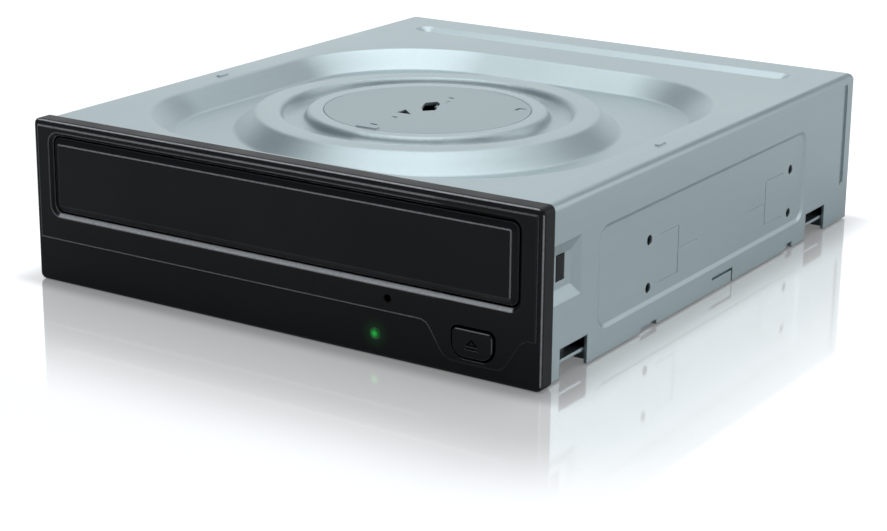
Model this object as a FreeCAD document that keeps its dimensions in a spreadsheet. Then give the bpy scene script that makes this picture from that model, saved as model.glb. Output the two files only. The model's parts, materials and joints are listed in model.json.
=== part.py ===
import FreeCAD, Part
import math
import os
import re

import Sketcher

# Half-height internal DVD writer. Millimetres; +X right and -Y forward as seen from the front, +Z up.
# The origin is under the middle of the drive, level with the bezel's lower edge.

# Driving sizes: alias, value, meaning.
SIZES = [
    # casing
    ("chassis_width", 146.0, "outside width of the sheet casing"),
    ("chassis_height", 41.3, "outside height of the sheet casing"),
    ("chassis_depth", 165.0, "casing length behind the bezel"),
    ("sheet", 0.8, "steel sheet thickness"),
    ("bend", 2.0, "outer bend radius of the cover"),
    ("fold_gap", 0.1, "gap between the bottom plate and the cover"),
    ("spindle_setback", 62.0, "disc axis behind the bezel"),
    # embossing of the cover
    ("recess_margin", 10.0, "rim of the pressed recess inside the casing's sides"),
    ("recess_front", 2.0, "rim of the recess behind the cover's front edge"),
    ("recess_length", 127.0, "length of the pressed recess at its rim"),
    ("recess_front_corner", 40.0, "front corner radius of the recess"),
    ("recess_rear_corner", 40.0, "rear corner radius of the recess"),
    ("recess_depth", 5.0, "depth of the recess"),
    ("recess_run", 6.2, "width of the sloping recess wall"),
    ("recess_round", 2.2, "rounding of the recess rim and foot"),
    ("ring_inner", 37.8, "inner radius of the raised ring's flat"),
    ("ring_outer", 44.0, "outer radius of the raised ring's flat"),
    ("ring_foot", 49.5, "radius where the raised ring meets the recess floor"),
    ("ring_drop", 0.45, "raised ring below the cover's top face"),
    ("ring_round", 1.0, "rounding of the raised ring and the hub"),
    ("groove_depth", 2.4, "depth of the groove between ring and hub"),
    ("groove_slope", 1.4, "width of the groove's sloping sides"),
    ("hub_outer", 30.6, "outer radius of the hub"),
    ("hub_drop", 0.35, "hub below the cover's top face"),
    ("cup_radius", 23.0, "radius of the cup under the clamp plate"),
    ("plate_radius", 26.5, "radius of the clamp plate"),
    ("plate_gap", 0.2, "gap round the clamp plate"),
    ("bead_margin", 12.0, "stiffening bead inside the casing's sides"),
    ("bead_width", 8.0, "width of the stiffening bead"),
    ("bead_depth", 1.4, "depth of the stiffening bead"),
    ("bead_slope", 65.0, "lean of the stiffening bead's sides, in degrees"),
    # side walls
    ("mount_hole", 1.25, "radius of a tapped M3 mounting hole"),
    ("mount_setback", 47.4, "first mounting holes behind the bezel"),
    ("mount_pitch", 79.25, "mounting hole spacing along the drive"),
    ("side_hole_low", 10.0, "lower side holes above the casing's floor"),
    ("side_hole_rise", 11.84, "upper side holes above the lower ones"),
    ("bottom_hole_inset", 3.15, "bottom mounting holes inside the casing's sides"),
    ("collar_wall", 0.9, "wall of the drawn collar round a bottom hole"),
    ("collar_height", 2.0, "height of the drawn collar"),
    ("panel_setback", 22.2, "side panel behind the bezel"),
    ("panel_length", 113.2, "length of the pressed side panel"),
    ("panel_low", 6.15, "side panel above the casing's floor"),
    ("panel_height", 25.0, "height of the pressed side panel"),
    ("panel_corner", 4.0, "corner radius of the side panel"),
    ("panel_depth", 0.5, "depth of the side panel"),
    ("panel_slope", 62.0, "lean of the side panel's edges, in degrees"),
    ("dish_length", 13.9, "length of the pressed dish round a clip window"),
    ("dish_low", 17.75, "dish above the casing's floor"),
    ("dish_height", 13.9, "height of the dish"),
    ("dish_slope", 3.0, "width of the dish's sloping sides"),
    ("dish_depth", 1.2, "depth of the dish"),
    ("window_setback", 4.5, "clip window behind the bezel"),
    ("window_length", 3.9, "length of the clip window"),
    ("window_low", 22.45, "clip window above the casing's floor"),
    ("window_height", 6.2, "height of the clip window"),
    ("notch_front", 5.2, "front foot notch behind the bezel"),
    ("notch_rear_gap", 15.2, "rear foot notch in front of the rear face"),
    ("notch_length", 12.4, "length of a foot notch"),
    ("notch_height", 7.0, "height of a foot notch"),
    ("rib_rear", 4.7, "upright side bead in front of the rear face"),
    ("rib_low", 10.3, "upright side bead above the casing's floor"),
    ("rib_top_gap", 2.7, "upright side bead below the casing's top"),
    ("rib_width", 2.6, "width of the upright side bead"),
    ("rib_depth", 0.5, "depth of the upright side bead"),
    ("latch_setback", 81.0, "latch slit behind the bezel"),
    ("latch_length", 11.7, "length of the latch slit"),
    ("latch_low", 3.0, "latch slit above the casing's floor"),
    ("latch_slit", 0.7, "width of the latch slit"),
    ("line_width", 0.3, "width of the pressed side lines"),
    ("line_depth", 0.12, "depth of the pressed side lines"),
    ("line_reach", 10.0, "length of the pressed side lines"),
    ("line_gap", 15.0, "pressed upright side lines inside the mounting holes"),
    ("lance_inset", 6.1, "lanced tabs of the cover inside the casing's sides"),
    ("lance_length", 3.6, "length of a lanced tab"),
    ("lance_width", 1.2, "width of a lanced tab"),
    ("lance_rise", 0.3, "lanced tab above the cover's top face"),
    # clamp plate
    ("tongue_drop", 1.3, "how far the clamp plate's tongues bend down"),
    ("rim_tab_width", 5.9, "width of the clamp plate's rim tab"),
    ("rim_tab_length", 1.6, "length of the clamp plate's rim tab"),
    ("rim_tab_rise", 0.3, "rim tab above the clamp plate"),
    # bottom plate
    ("pocket_width", 10.0, "width of a raised corner pocket"),
    ("pocket_rise", 3.05, "rise of a corner pocket"),
    ("pocket_ramp", 2.4, "length of a pocket's ramps"),
    ("flange_height", 3.6, "height of the bottom plate's side flanges"),
    ("screw_shank", 1.4, "radius of the small screws"),
    ("screw_head", 2.6, "head radius of the small screws"),
    ("screw_head_height", 1.1, "head height of the small screws"),
    ("screw_bite", 5.0, "how far a small screw goes into its boss"),
    ("screw_gap", 0.05, "gap round a screw"),
    # bezel, door and button
    ("bezel_overhang", 1.0, "bezel beyond the casing's sides"),
    ("bezel_rise", 0.35, "bezel beyond the casing's floor and top"),
    ("bezel_depth", 5.0, "bezel depth"),
    ("bezel_wall", 2.4, "front wall of the bezel"),
    ("bezel_side", 1.8, "side walls of the bezel"),
    ("bezel_corner", 1.6, "corner radius of the bezel"),
    ("bezel_edge", 0.9, "rounded front edge of the bezel"),
    ("face_step", 0.4, "raised face of the bezel above its border"),
    ("face_margin", 1.6, "border round the raised face"),
    ("face_low", 11.5, "lower edge of the raised face"),
    ("apron_low", 3.3, "lower edge of the raised face under the button"),
    ("apron_margin", 1.6, "raised face beside the button opening at its foot"),
    ("apron_spread", 5.2, "how far the apron's sides spread towards the raised face"),
    ("apron_round", 3.4, "rounding of the apron's curves"),
    ("door_margin", 6.0, "door opening inside the bezel's sides"),
    ("door_opening_height", 20.0, "height of the door opening"),
    ("door_top_margin", 3.7, "door opening below the bezel's top"),
    ("door_corner", 2.2, "corner radius of the door opening"),
    ("door_gap", 0.5, "gap round the door"),
    ("door_thick", 2.4, "thickness of the door"),
    ("door_bevel", 0.8, "depth of the bevel round the door's face"),
    ("door_bevel_slope", 64.0, "lean of the bevel round the door's face, in degrees"),
    ("door_lip", 0.9, "chamfer round the door opening"),
    ("door_sink", 0.1, "door face behind the bezel's face"),
    ("button_inset", 23.3, "left edge of the button opening inside the bezel's right side"),
    ("button_width", 11.8, "width of the button opening"),
    ("button_low", 4.3, "lower edge of the button opening"),
    ("button_height", 7.8, "height of the button opening"),
    ("button_corner", 1.8, "upper corner radius of the button opening"),
    ("button_sweep", 3.6, "lower corner radius of the button opening"),
    ("button_gap", 0.6, "gap round the button"),
    ("button_proud", 0.6, "button cap in front of the bezel's face"),
    ("button_flange", 0.8, "thickness of the button's inner flange"),
    ("button_travel", 0.8, "travel of the button"),
    ("button_stem", 1.6, "radius of the button's stem"),
    ("mark_half", 1.7, "half width of the eject mark"),
    ("mark_height", 1.7, "height of the eject mark's triangle"),
    ("mark_line", 0.35, "line width of the eject mark"),
    ("mark_gap", 0.5, "eject mark's bar below its triangle"),
    ("mark_depth", 0.15, "depth of the eject mark"),
    ("led_inset", 44.1, "activity light inside the bezel's right side"),
    ("led_height", 5.5, "activity light above the bezel's lower edge"),
    ("led_radius", 1.1, "radius of the light pipe"),
    ("light_gap", 0.1, "gap round the light pipe"),
    ("pin_hole_inset", 40.4, "emergency hole inside the bezel's right side"),
    ("pin_hole_drop", 3.6, "emergency hole below the door opening"),
    ("pin_hole", 0.95, "radius of the emergency hole"),
    ("hook_thick", 1.4, "thickness of a bezel hook"),
    ("hook_gap", 0.3, "gap round a bezel hook"),
    # disc tray
    ("tray_margin", 8.5, "tray's sides inside the casing's sides"),
    ("tray_drop", 16.95, "underside of the tray floor below the casing's top"),
    ("tray_floor", 2.0, "thickness of the tray floor"),
    ("tray_rim", 6.5, "height of the tray from its underside to its rim"),
    ("tray_wall", 1.8, "wall thickness of the tray"),
    ("tray_rear_gap", 7.2, "tray end in front of the cover's rear wall"),
    ("tray_travel", 138.0, "travel of the tray"),
    ("disc_recess", 61.0, "radius of the large disc recess"),
    ("small_recess", 41.0, "radius of the small disc recess"),
    ("small_recess_depth", 0.9, "depth of the small disc recess"),
    ("tray_slot", 22.0, "half width of the pickup opening in the tray"),
    ("tray_slot_front", 20.0, "pickup opening in front of the disc axis"),
    ("disc_lift", 1.0, "turntable above the tray floor"),
    ("disc_space", 1.5, "space for a disc between turntable and clamper"),
    # loader frame
    ("frame_margin", 8.0, "inner face of the frame's side walls inside the casing's sides"),
    ("frame_wall_thick", 1.8, "thickness of the frame's side walls"),
    ("rib_clearance", 0.8, "frame's spacing ribs inside the casing's walls"),
    ("frame_front_gap", 0.5, "frame behind the bezel"),
    ("frame_rear_gap", 3.0, "frame in front of the cover's rear wall"),
    ("deck_drop", 12.2, "underside of the frame's deck below the tray"),
    ("deck_thick", 1.8, "thickness of the frame's deck"),
    ("deck_rear", 30.0, "rear edge of the front deck behind the bezel"),
    ("rail_gap", 0.3, "gap between the tray and its rails"),
    ("rail_reach", 2.6, "how far the rails reach over the tray's edges"),
    ("rail_thick", 1.8, "thickness of the rails"),
    ("traverse_gap", 1.2, "gap between the traverse and the frame"),
    ("boss_radius", 3.0, "radius of the frame's screw bosses"),
    # loading drive
    ("rack_offset", 46.0, "pitch line of the rack left of the middle"),
    ("rack_module", 1.0, "tooth module of rack and pinion"),
    ("rack_back", 2.4, "thickness of the rack's back"),
    ("pinion_teeth", 16, "teeth of the rack pinion"),
    ("train_module", 0.6, "tooth module of the reduction"),
    ("wheel_teeth", 40, "teeth of the reduction wheel"),
    ("pulley_teeth", 12, "teeth of the pulley's pinion"),
    ("mesh_slack", 0.16, "play between meshing teeth"),
    ("gear_setback", 14.0, "gear axis behind the bezel"),
    ("gear_post", 1.5, "radius of the gear posts"),
    ("gear_play", 0.05, "running clearance of a gear on its post"),
    ("gear_hub", 3.2, "hub radius of the tray gear"),
    ("wheel_width", 2.4, "width of the reduction wheel"),
    ("wheel_gap", 0.3, "axial gap between the drive's wheels"),
    ("pulley_radius", 8.6, "radius of the large pulley"),
    ("pulley_width", 2.6, "width of the pulleys"),
    ("motor_pulley_radius", 3.0, "radius of the motor pulley"),
    ("belt_size", 1.2, "thickness of the square belt"),
    ("belt_gap", 0.1, "gap between the belt and its pulleys"),
    ("groove_sink", 0.7, "depth of the belt groove in the pulleys"),
    ("motor_across", 14.0, "loading motor right of the middle"),
    ("motor_radius", 12.0, "radius of the loading motor"),
    ("motor_gap", 0.95, "loading motor above the bottom plate"),
    ("motor_shaft", 1.0, "radius of the loading motor's shaft"),
    ("motor_screw_span", 17.0, "spacing of the loading motor's screws"),
    # cam slider and traverse
    ("cam_travel", 20.0, "travel of the cam slider"),
    ("cam_thick", 2.4, "thickness of the cam slider"),
    ("cam_margin", 8.0, "cam slider beyond its slot"),
    ("cam_rim", 1.7, "cam slider below and above its slot"),
    ("cam_gap", 0.3, "gap between the cam slider and the frame"),
    ("lug_radius", 1.2, "radius of the traverse's lug"),
    ("lug_slack", 0.25, "gap between the lug and the cam slot"),
    ("lug_drop", 8.24, "drop of the traverse's lug when the tray is out"),
    ("traverse_drop", 12.7, "underside of the traverse plate below the tray"),
    ("traverse_thick", 2.0, "thickness of the traverse plate"),
    ("traverse_half_width", 38.0, "half width of the traverse"),
    ("traverse_front", 39.0, "front edge of the traverse behind the bezel"),
    ("traverse_rear", 4.0, "traverse behind its hinge"),
    ("traverse_beam", 3.0, "width of the traverse's side beams"),
    ("traverse_fold", 4.4, "height of the traverse's folded edges"),
    ("hinge_gap", 21.0, "traverse hinge in front of the rear face"),
    ("hinge_pin", 2.0, "radius of the hinge pins"),
    ("hinge_reach", 6.0, "length of the hinge pins"),
    ("bush_wall", 1.9, "wall of the rubber hinge bushes"),
    ("bush_gap", 0.05, "gap round the rubber hinge bushes"),
    ("bay_front", 12.0, "front edge of the pickup bay behind the disc axis"),
    ("bay_rear", 6.0, "rear edge of the pickup bay in front of the hinge"),
    # spindle and clamper
    ("stator_radius", 12.4, "radius of the spindle motor's stator"),
    ("stator_base", 13.6, "radius of the spindle motor's base"),
    ("stator_base_thick", 1.0, "thickness of the spindle motor's base"),
    ("stator_height", 5.4, "height of the spindle motor above the traverse"),
    ("spindle_shaft", 1.5, "radius of the spindle shaft"),
    ("spindle_play", 0.05, "running clearance of the spindle shaft"),
    ("rotor_gap", 0.3, "gap between stator and rotor"),
    ("rotor_radius", 13.2, "radius of the rotor"),
    ("table_radius", 16.0, "radius of the turntable"),
    ("table_thick", 1.2, "thickness of the turntable"),
    ("pad_thick", 0.5, "thickness of the friction ring"),
    ("pad_width", 4.6, "width of the friction ring"),
    ("pad_margin", 0.3, "turntable outside the friction ring"),
    ("spigot_radius", 7.4, "radius of the centring spigot"),
    ("spigot_height", 1.2, "straight height of the centring spigot"),
    ("spigot_cone", 1.0, "height of the spigot's cone"),
    ("spigot_tip", 5.6, "tip radius of the spigot's cone"),
    ("magnet_outer", 4.8, "outer radius of the hub magnet"),
    ("magnet_inner", 2.2, "inner radius of the hub magnet"),
    ("magnet_thick", 1.5, "thickness of the hub magnet"),
    ("clamp_hole", 14.2, "radius of the clamper's hole in the cover"),
    ("clamp_play", 0.4, "gap between the clamper and its hole"),
    ("clamper_flange", 17.0, "radius of the clamper's flange"),
    ("clamper_flange_thick", 1.2, "thickness of the clamper's flange"),
    ("clamper_hang", 0.25, "clamper's flange above the cup floor"),
    ("clamper_mouth", 8.8, "radius of the clamper's mouth"),
    ("clamper_mouth_depth", 2.2, "depth of the clamper's mouth"),
    ("yoke_radius", 10.5, "radius of the steel yoke in the clamper"),
    ("yoke_thick", 1.0, "thickness of the steel yoke"),
    ("seat_gap", 0.02, "gap round a piece seated in another"),
    # pickup
    ("pickup_travel", 36.0, "travel of the pickup"),
    ("lens_reach", 22.5, "innermost lens position behind the disc axis"),
    ("pickup_half_width", 20.5, "half width of the pickup"),
    ("pickup_front", 8.0, "pickup in front of its lens"),
    ("pickup_length", 24.0, "length of the pickup"),
    ("pickup_drop", 14.7, "underside of the pickup below the tray"),
    ("pickup_height", 10.6, "height of the pickup"),
    ("actuator_half_width", 9.5, "half width of the lens actuator"),
    ("actuator_length", 14.0, "length of the lens actuator"),
    ("actuator_height", 3.4, "height of the lens actuator"),
    ("lens_radius", 2.2, "radius of the objective lens"),
    ("lens_height", 0.9, "height of the objective lens"),
    ("rod_offset", 26.5, "guide rods from the middle"),
    ("rod_radius", 1.5, "radius of the guide rods"),
    ("rod_play", 0.05, "running clearance on the guide rods"),
    ("rod_block", 2.8, "half width of the blocks that hold the rods"),
    ("rod_hold", 2.8, "length of the blocks that hold the rods"),
    ("screw_offset", 32.0, "lead screw right of the middle"),
    ("screw_drop", 9.7, "lead screw below the tray"),
    ("lead_screw_radius", 1.5, "radius of the lead screw"),
    ("sled_motor_radius", 5.0, "radius of the sled motor"),
    ("sled_motor_length", 12.0, "length of the sled motor"),
    ("nut_length", 8.0, "length of the pickup's nut"),
    ("nut_wall", 1.0, "wall of the pickup's nut"),
    # boards and connector
    ("board_thick", 1.6, "thickness of the circuit boards"),
    ("board_lift", 1.85, "main board above the bottom plate"),
    ("board_margin", 12.0, "main board inside the casing's sides"),
    ("board_length", 60.0, "length of the main board"),
    ("board_rear_gap", 2.2, "main board in front of the cover's rear wall"),
    ("board_screw_inset", 5.0, "board screws from the board's front and side edges"),
    ("board_screw_rear", 16.0, "rear board screws from the board's rear edge"),
    ("chip_side", 14.0, "side of the main chip"),
    ("chip_thick", 1.2, "thickness of the chips"),
    ("capacitor_radius", 2.5, "radius of the capacitors"),
    ("capacitor_gap", 2.5, "capacitors below the frame's deck"),
    ("connector_across", 38.0, "connector right of the middle"),
    ("connector_width", 36.0, "width of the connector shell"),
    ("connector_height", 6.2, "height of the connector shell"),
    ("connector_depth", 8.0, "depth of the connector shell"),
    ("connector_wall", 1.0, "wall of the connector shell"),
    ("power_tongue", 18.8, "width of the power tongue"),
    ("data_tongue", 8.6, "width of the data tongue"),
    ("tongue_thick", 1.2, "thickness of the connector tongues"),
    ("tongue_reach", 5.4, "length of the connector tongues"),
    ("port_margin", 0.6, "cover opening round the connector"),
    ("front_board_margin", 3.1, "front board left of the activity light"),
    ("front_board_reach", 3.3, "front board right of the button's middle"),
    ("front_board_gap", 0.55, "front board below the frame's deck"),
    ("front_board_setback", 4.4, "front board behind the bezel"),
    ("switch_side", 6.0, "side of the eject switch"),
    ("switch_depth", 3.0, "depth of the eject switch"),
    ("plunger_radius", 1.5, "radius of the switch's plunger"),
    ("plunger_reach", 1.0, "length of the switch's plunger"),
    ("led_body", 1.5, "radius of the light-emitting diode"),
    ("cable_width", 10.0, "width of the flat cable"),
    ("cable_thick", 0.3, "thickness of the flat cable"),
    ("cable_lift", 0.2, "flat cable above the bottom plate"),
    ("cable_across", 48.0, "flat cable right of the middle"),
]

ALIASES = {name for name, _, _ in SIZES}

# How far a cutting tool runs past the face that it opens.
OVER = 1.0

doc = FreeCAD.newDocument("dvd_writer")
sheet = doc.addObject("Spreadsheet::Sheet", "sizes")
for row, (alias, size, meaning) in enumerate(SIZES, start=1):
    sheet.set(f"A{row}", alias)
    sheet.set(f"B{row}", str(size))
    sheet.set(f"C{row}", meaning)
    sheet.setAlias(f"B{row}", alias)
doc.recompute()

parts = []


# Formulas

def qualify(formula):
    """A formula with each alias written as a cell of the sheet."""
    def cell(match):
        word = match.group(0)
        return "sizes." + word if word in ALIASES else word
    return re.sub(r"[a-z][a-z_]*", cell, str(formula))


def value(formula):
    """The number that a formula gives now."""
    return float(sheet.evalExpression(qualify(formula)))


def bind(item, path, formula):
    """Ties one property of an object to the sheet."""
    item.setExpression(path, qualify(formula))


def plus(*terms):
    return "(" + " + ".join(f"({term})" for term in terms) + ")"


def minus(first, *terms):
    return f"(({first})" + "".join(f" - ({term})" for term in terms) + ")"


def around(middle, half):
    """The span that reaches half to each side of its middle."""
    return minus(middle, half), plus(middle, half)


def flipped(span):
    """A span along X, mirrored to the other side of the drive."""
    low, high = span
    return minus(0, high), minus(0, low)


def both_sides(span):
    return ("right", span), ("left", flipped(span))


# Shared places, as formulas
FRONT = "(-(bezel_depth + chassis_depth - button_proud) / 2)"
SEAM = plus(FRONT, "bezel_depth")
REAR = plus(SEAM, "chassis_depth")
BASE = "bezel_rise"
TOP = plus(BASE, "chassis_height")
WALL = "(chassis_width / 2)"
WALL_IN = minus(WALL, "sheet")
BEZEL_HALF = plus(WALL, "bezel_overhang")
BEZEL_TOP = plus(TOP, "bezel_rise")
DOOR_HALF = minus(BEZEL_HALF, "door_margin")
DOOR_TOP = minus(BEZEL_TOP, "door_top_margin")
DOOR_LOW = minus(DOOR_TOP, "door_opening_height")
BUTTON_LEFT = minus(BEZEL_HALF, "button_inset")
LED_X = minus(BEZEL_HALF, "led_inset")
PIN_X = minus(BEZEL_HALF, "pin_hole_inset")
PIN_Z = minus(DOOR_LOW, "pin_hole_drop")
RECESS_HALF = minus(WALL, "recess_margin")
BEAD_HALF = minus(WALL, "bead_margin")
BEAD_REAR = "((chassis_depth - recess_front - recess_length) / 3)"
LANCE_X = minus(WALL, "lance_inset")
BOTTOM_HOLE_X = minus(WALL, "bottom_hole_inset")
NOTCH_REAR = minus("chassis_depth", "notch_rear_gap", "notch_length")
FRAME_WALL = minus(WALL, "frame_margin")
BOARD_HALF = minus(WALL, "board_margin")
TRAY_HALF = minus(WALL, "tray_margin")
TRAY_LEVEL = minus(TOP, "tray_drop")
DECK_LEVEL = minus(TRAY_LEVEL, "deck_drop")
TRAVERSE_LEVEL = minus(TRAY_LEVEL, "traverse_drop")
PICKUP_LOW = minus(TRAY_LEVEL, "pickup_drop")
SCREW_Z = minus(TRAY_LEVEL, "screw_drop")
FLOOR = plus(BASE, "sheet")
REAR_IN = minus(REAR, "sheet")
SPINDLE = plus(SEAM, "spindle_setback")
RECESS_FLOOR = minus(TOP, "recess_depth")
HUB_TOP = minus(TOP, "hub_drop")
PLATE_SEAT = minus(HUB_TOP, "sheet")
MOUNT_Y = (plus(SEAM, "mount_setback"), plus(SEAM, "mount_setback", "mount_pitch"))
POCKET_TOP = plus(FLOOR, "pocket_rise")
DECK_TOP = plus(DECK_LEVEL, "deck_thick")
RIM_TOP = plus(TRAY_LEVEL, "tray_rim")
TRAY_REAR = minus(REAR_IN, "tray_rear_gap")
DISC_SEAT = plus(TRAY_LEVEL, "tray_floor", "disc_lift")
GEAR_X = "(rack_module * pinion_teeth / 2 - rack_offset)"
GEAR_Y = plus(SEAM, "gear_setback")
PULLEY_X = plus(GEAR_X, "train_module * (wheel_teeth + pulley_teeth) / 2")
PULLEY_LOW = plus(DECK_TOP, "wheel_gap")
PULLEY_TOP = plus(PULLEY_LOW, "pulley_width")
WHEEL_LOW = plus(PULLEY_TOP, "wheel_gap")
WHEEL_TOP = plus(WHEEL_LOW, "wheel_width")
RACK_LOW = plus(WHEEL_TOP, "wheel_gap")
PINION_TOP = minus(TRAY_LEVEL, "wheel_gap")
HINGE_Y = minus(REAR, "hinge_gap")
HINGE_Z = plus(TRAVERSE_LEVEL, "traverse_thick / 2")
TRAVERSE_TOP = plus(TRAVERSE_LEVEL, "traverse_thick")
TRAVERSE_FRONT = plus(SEAM, "traverse_front")
DECK_REAR = plus(SEAM, "deck_rear")
CAM_FRONT = plus(DECK_REAR, "cam_gap")
CAM_REAR = plus(CAM_FRONT, "cam_thick")
LENS_Y = plus(SPINDLE, "lens_reach")
PICKUP_FRONT = minus(LENS_Y, "pickup_front")
PICKUP_TOP = plus(PICKUP_LOW, "pickup_height")
BAY_FRONT = plus(SPINDLE, "bay_front")
BAY_REAR = minus(HINGE_Y, "bay_rear")
BOARD_LOW = plus(FLOOR, "board_lift")
BOARD_TOP = plus(BOARD_LOW, "board_thick")
BOARD_REAR = minus(REAR_IN, "board_rear_gap")
BOARD_FRONT = minus(BOARD_REAR, "board_length")
FRONT_BOARD_Y = plus(SEAM, "front_board_setback")
BUTTON_X = plus(BUTTON_LEFT, "button_width / 2")
BUTTON_Z = "(button_low + button_height / 2)"
BEZEL_INSIDE = plus(FRONT, "bezel_wall")


# Solids from primitives

def block(name, x, y, z):
    """A box between low and high formulas on each axis."""
    item = doc.addObject("Part::Box", name)
    for side, axis, (low, high) in (("Length", "x", x), ("Width", "y", y), ("Height", "z", z)):
        bind(item, side, minus(high, low))
        bind(item, "Placement.Base." + axis, low)
    return item


TURNS = {
    "x": FreeCAD.Rotation(FreeCAD.Vector(0, 1, 0), 90),
    "y": FreeCAD.Rotation(FreeCAD.Vector(1, 0, 0), -90),
    "z": FreeCAD.Rotation(),
}


def rod(name, axis, centre, span, radius):
    """A cylinder along one axis; centre gives the other two coordinates in X, Y, Z order."""
    item = doc.addObject("Part::Cylinder", name)
    item.Placement = FreeCAD.Placement(FreeCAD.Vector(), TURNS[axis])
    low, high = span
    bind(item, "Radius", radius)
    bind(item, "Height", minus(high, low))
    across = list(centre)
    across.insert("xyz".index(axis), low)
    for letter, formula in zip("xyz", across):
        bind(item, "Placement.Base." + letter, formula)
    return item


def tapered(name, axis, foot, head, span):
    """A block that narrows from foot to head along X or Z; foot and head are pairs of spans."""
    item = doc.addObject("Part::Wedge", name)
    turn = FreeCAD.Rotation(FreeCAD.Vector(1, 0, 0), 90)
    if axis == "x":
        turn = FreeCAD.Rotation(FreeCAD.Vector(0, 0, 1), -90)
    item.Placement = FreeCAD.Placement(FreeCAD.Vector(), turn)
    low, high = span
    first, second = foot
    first_head, second_head = head
    names = (("Xmin", first, 0), ("Xmax", first, 1), ("X2min", first_head, 0), ("X2max", first_head, 1))
    if axis == "x":
        first, first_head = flipped(first), flipped(first_head)
        names = (("Xmin", first, 0), ("Xmax", first, 1), ("X2min", first_head, 0), ("X2max", first_head, 1))
        depth, depth_head = second, second_head
    else:
        depth, depth_head = flipped(second), flipped(second_head)
    for path, pair, end in names:
        bind(item, path, pair[end])
    for path, pair, end in (("Zmin", depth, 0), ("Zmax", depth, 1), ("Z2min", depth_head, 0),
                            ("Z2max", depth_head, 1)):
        bind(item, path, pair[end])
    bind(item, "Ymin", low)
    bind(item, "Ymax", high)
    return item


def join(name, *shapes):
    item = doc.addObject("Part::MultiFuse", name)
    item.Shapes = list(shapes)
    item.Refine = True
    return item


def group(name, *shapes):
    """Separate solids that share one node."""
    item = doc.addObject("Part::Compound", name)
    item.Links = list(shapes)
    return item


def cut(name, base, *tools):
    item = doc.addObject("Part::Cut", name)
    item.Base = base
    item.Tool = tools[0] if len(tools) == 1 else group(name + "_tools", *tools)
    item.Refine = True
    return item


def common(name, first, second):
    item = doc.addObject("Part::Common", name)
    item.Base = first
    item.Tool = second
    return item


# Bodies from sketches

PLANES = {"xy": "XY_Plane", "xz": "XZ_Plane", "yz": "YZ_Plane"}


def new_body(name):
    return doc.addObject("PartDesign::Body", name)


def new_sketch(owner, name, plane, offset="0"):
    """A sketch parallel to an origin plane; offset is its coordinate on the axis across the plane."""
    item = owner.newObject("Sketcher::SketchObject", name)
    support = next(one for one in owner.Origin.OriginFeatures if one.Role == PLANES[plane])
    item.AttachmentSupport = [(support, "")]
    item.MapMode = "FlatFace"
    bind(item, "AttachmentOffset.Base.z", minus(0, offset) if plane == "xz" else offset)
    return item


def fix_point(item, edge, end, u, v):
    """Holds a sketch point at the formulas u and v."""
    for kind, formula, axis in (("DistanceX", u, -2), ("DistanceY", v, -1)):
        here = value(formula)
        if str(formula) == "0":
            item.addConstraint(Sketcher.Constraint("PointOnObject", edge, end, axis))
            continue
        index = item.addConstraint(Sketcher.Constraint(kind, edge, end, here))
        bind(item, f"Constraints[{index}]", formula)


def polygon(item, corners):
    """A closed outline of straight edges through the corners."""
    points = [FreeCAD.Vector(value(u), value(v), 0) for u, v in corners]
    first = item.GeometryCount
    count = len(points)
    for index in range(count):
        item.addGeometry(Part.LineSegment(points[index], points[(index + 1) % count]))
    for index in range(count):
        following = first + (index + 1) % count
        item.addConstraint(Sketcher.Constraint("Coincident", first + index, 2, following, 1))
    for index, (u, v) in enumerate(corners):
        fix_point(item, first + index, 1, u, v)


def circle(item, centre, radius):
    u, v = centre
    middle = FreeCAD.Vector(value(u), value(v), 0)
    edge = item.addGeometry(Part.Circle(middle, FreeCAD.Vector(0, 0, 1), value(radius)))
    fix_point(item, edge, 3, u, v)
    index = item.addConstraint(Sketcher.Constraint("Radius", edge, value(radius)))
    bind(item, f"Constraints[{index}]", radius)


def rounded_rectangle(item, u, v, radii):
    """Four tangent arcs joined by straight sides; radii run from the low corner anticlockwise."""
    (left, right), (low, high) = u, v
    x = [value(left), value(right), value(right), value(left)]
    y = [value(low), value(low), value(high), value(high)]
    inward = [(1, 1), (-1, 1), (-1, -1), (1, -1)]
    r = [value(radius) for radius in radii]
    centres = [FreeCAD.Vector(x[k] + inward[k][0] * r[k], y[k] + inward[k][1] * r[k], 0) for k in range(4)]
    normal = FreeCAD.Vector(0, 0, 1)
    starts = []
    ends = []
    for k in range(4):
        angle = math.pi + k * math.pi / 2
        corner = Part.ArcOfCircle(Part.Circle(centres[k], normal, r[k]), angle, angle + math.pi / 2)
        item.addGeometry(corner)
        starts.append(corner.StartPoint)
        ends.append(corner.EndPoint)
    for k in range(4):
        item.addGeometry(Part.LineSegment(ends[k], starts[(k + 1) % 4]))
    for k in range(4):
        item.addConstraint(Sketcher.Constraint("Tangent", k, 2, 4 + k, 1))
        item.addConstraint(Sketcher.Constraint("Tangent", 4 + k, 2, (k + 1) % 4, 1))
        item.addConstraint(Sketcher.Constraint("Vertical" if k % 2 else "Horizontal", 4 + k))
    for line, kind, formula in ((7, "DistanceX", left), (5, "DistanceX", right), (4, "DistanceY", low),
                                (6, "DistanceY", high)):
        index = item.addConstraint(Sketcher.Constraint(kind, line, 1, value(formula)))
        bind(item, f"Constraints[{index}]", formula)
    for k in range(4):
        index = item.addConstraint(Sketcher.Constraint("Radius", k, r[k]))
        bind(item, f"Constraints[{index}]", radii[k])


def pad(owner, name, profile, length, lean=None):
    """An extrusion; a lean in degrees spreads its sides outwards along the way."""
    item = owner.newObject("PartDesign::Pad", name)
    item.Profile = profile
    bind(item, "Length", length)
    if lean is not None:
        bind(item, "TaperAngle", lean)
    return item


def pocket(owner, name, profile, length, reverse=False, lean=None):
    """A sunk extrusion; a lean in degrees spreads its sides outwards on the way down."""
    item = owner.newObject("PartDesign::Pocket", name)
    item.Profile = profile
    item.Reversed = reverse
    bind(item, "Length", length)
    if lean is not None:
        bind(item, "TaperAngle", lean)
    return item


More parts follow.
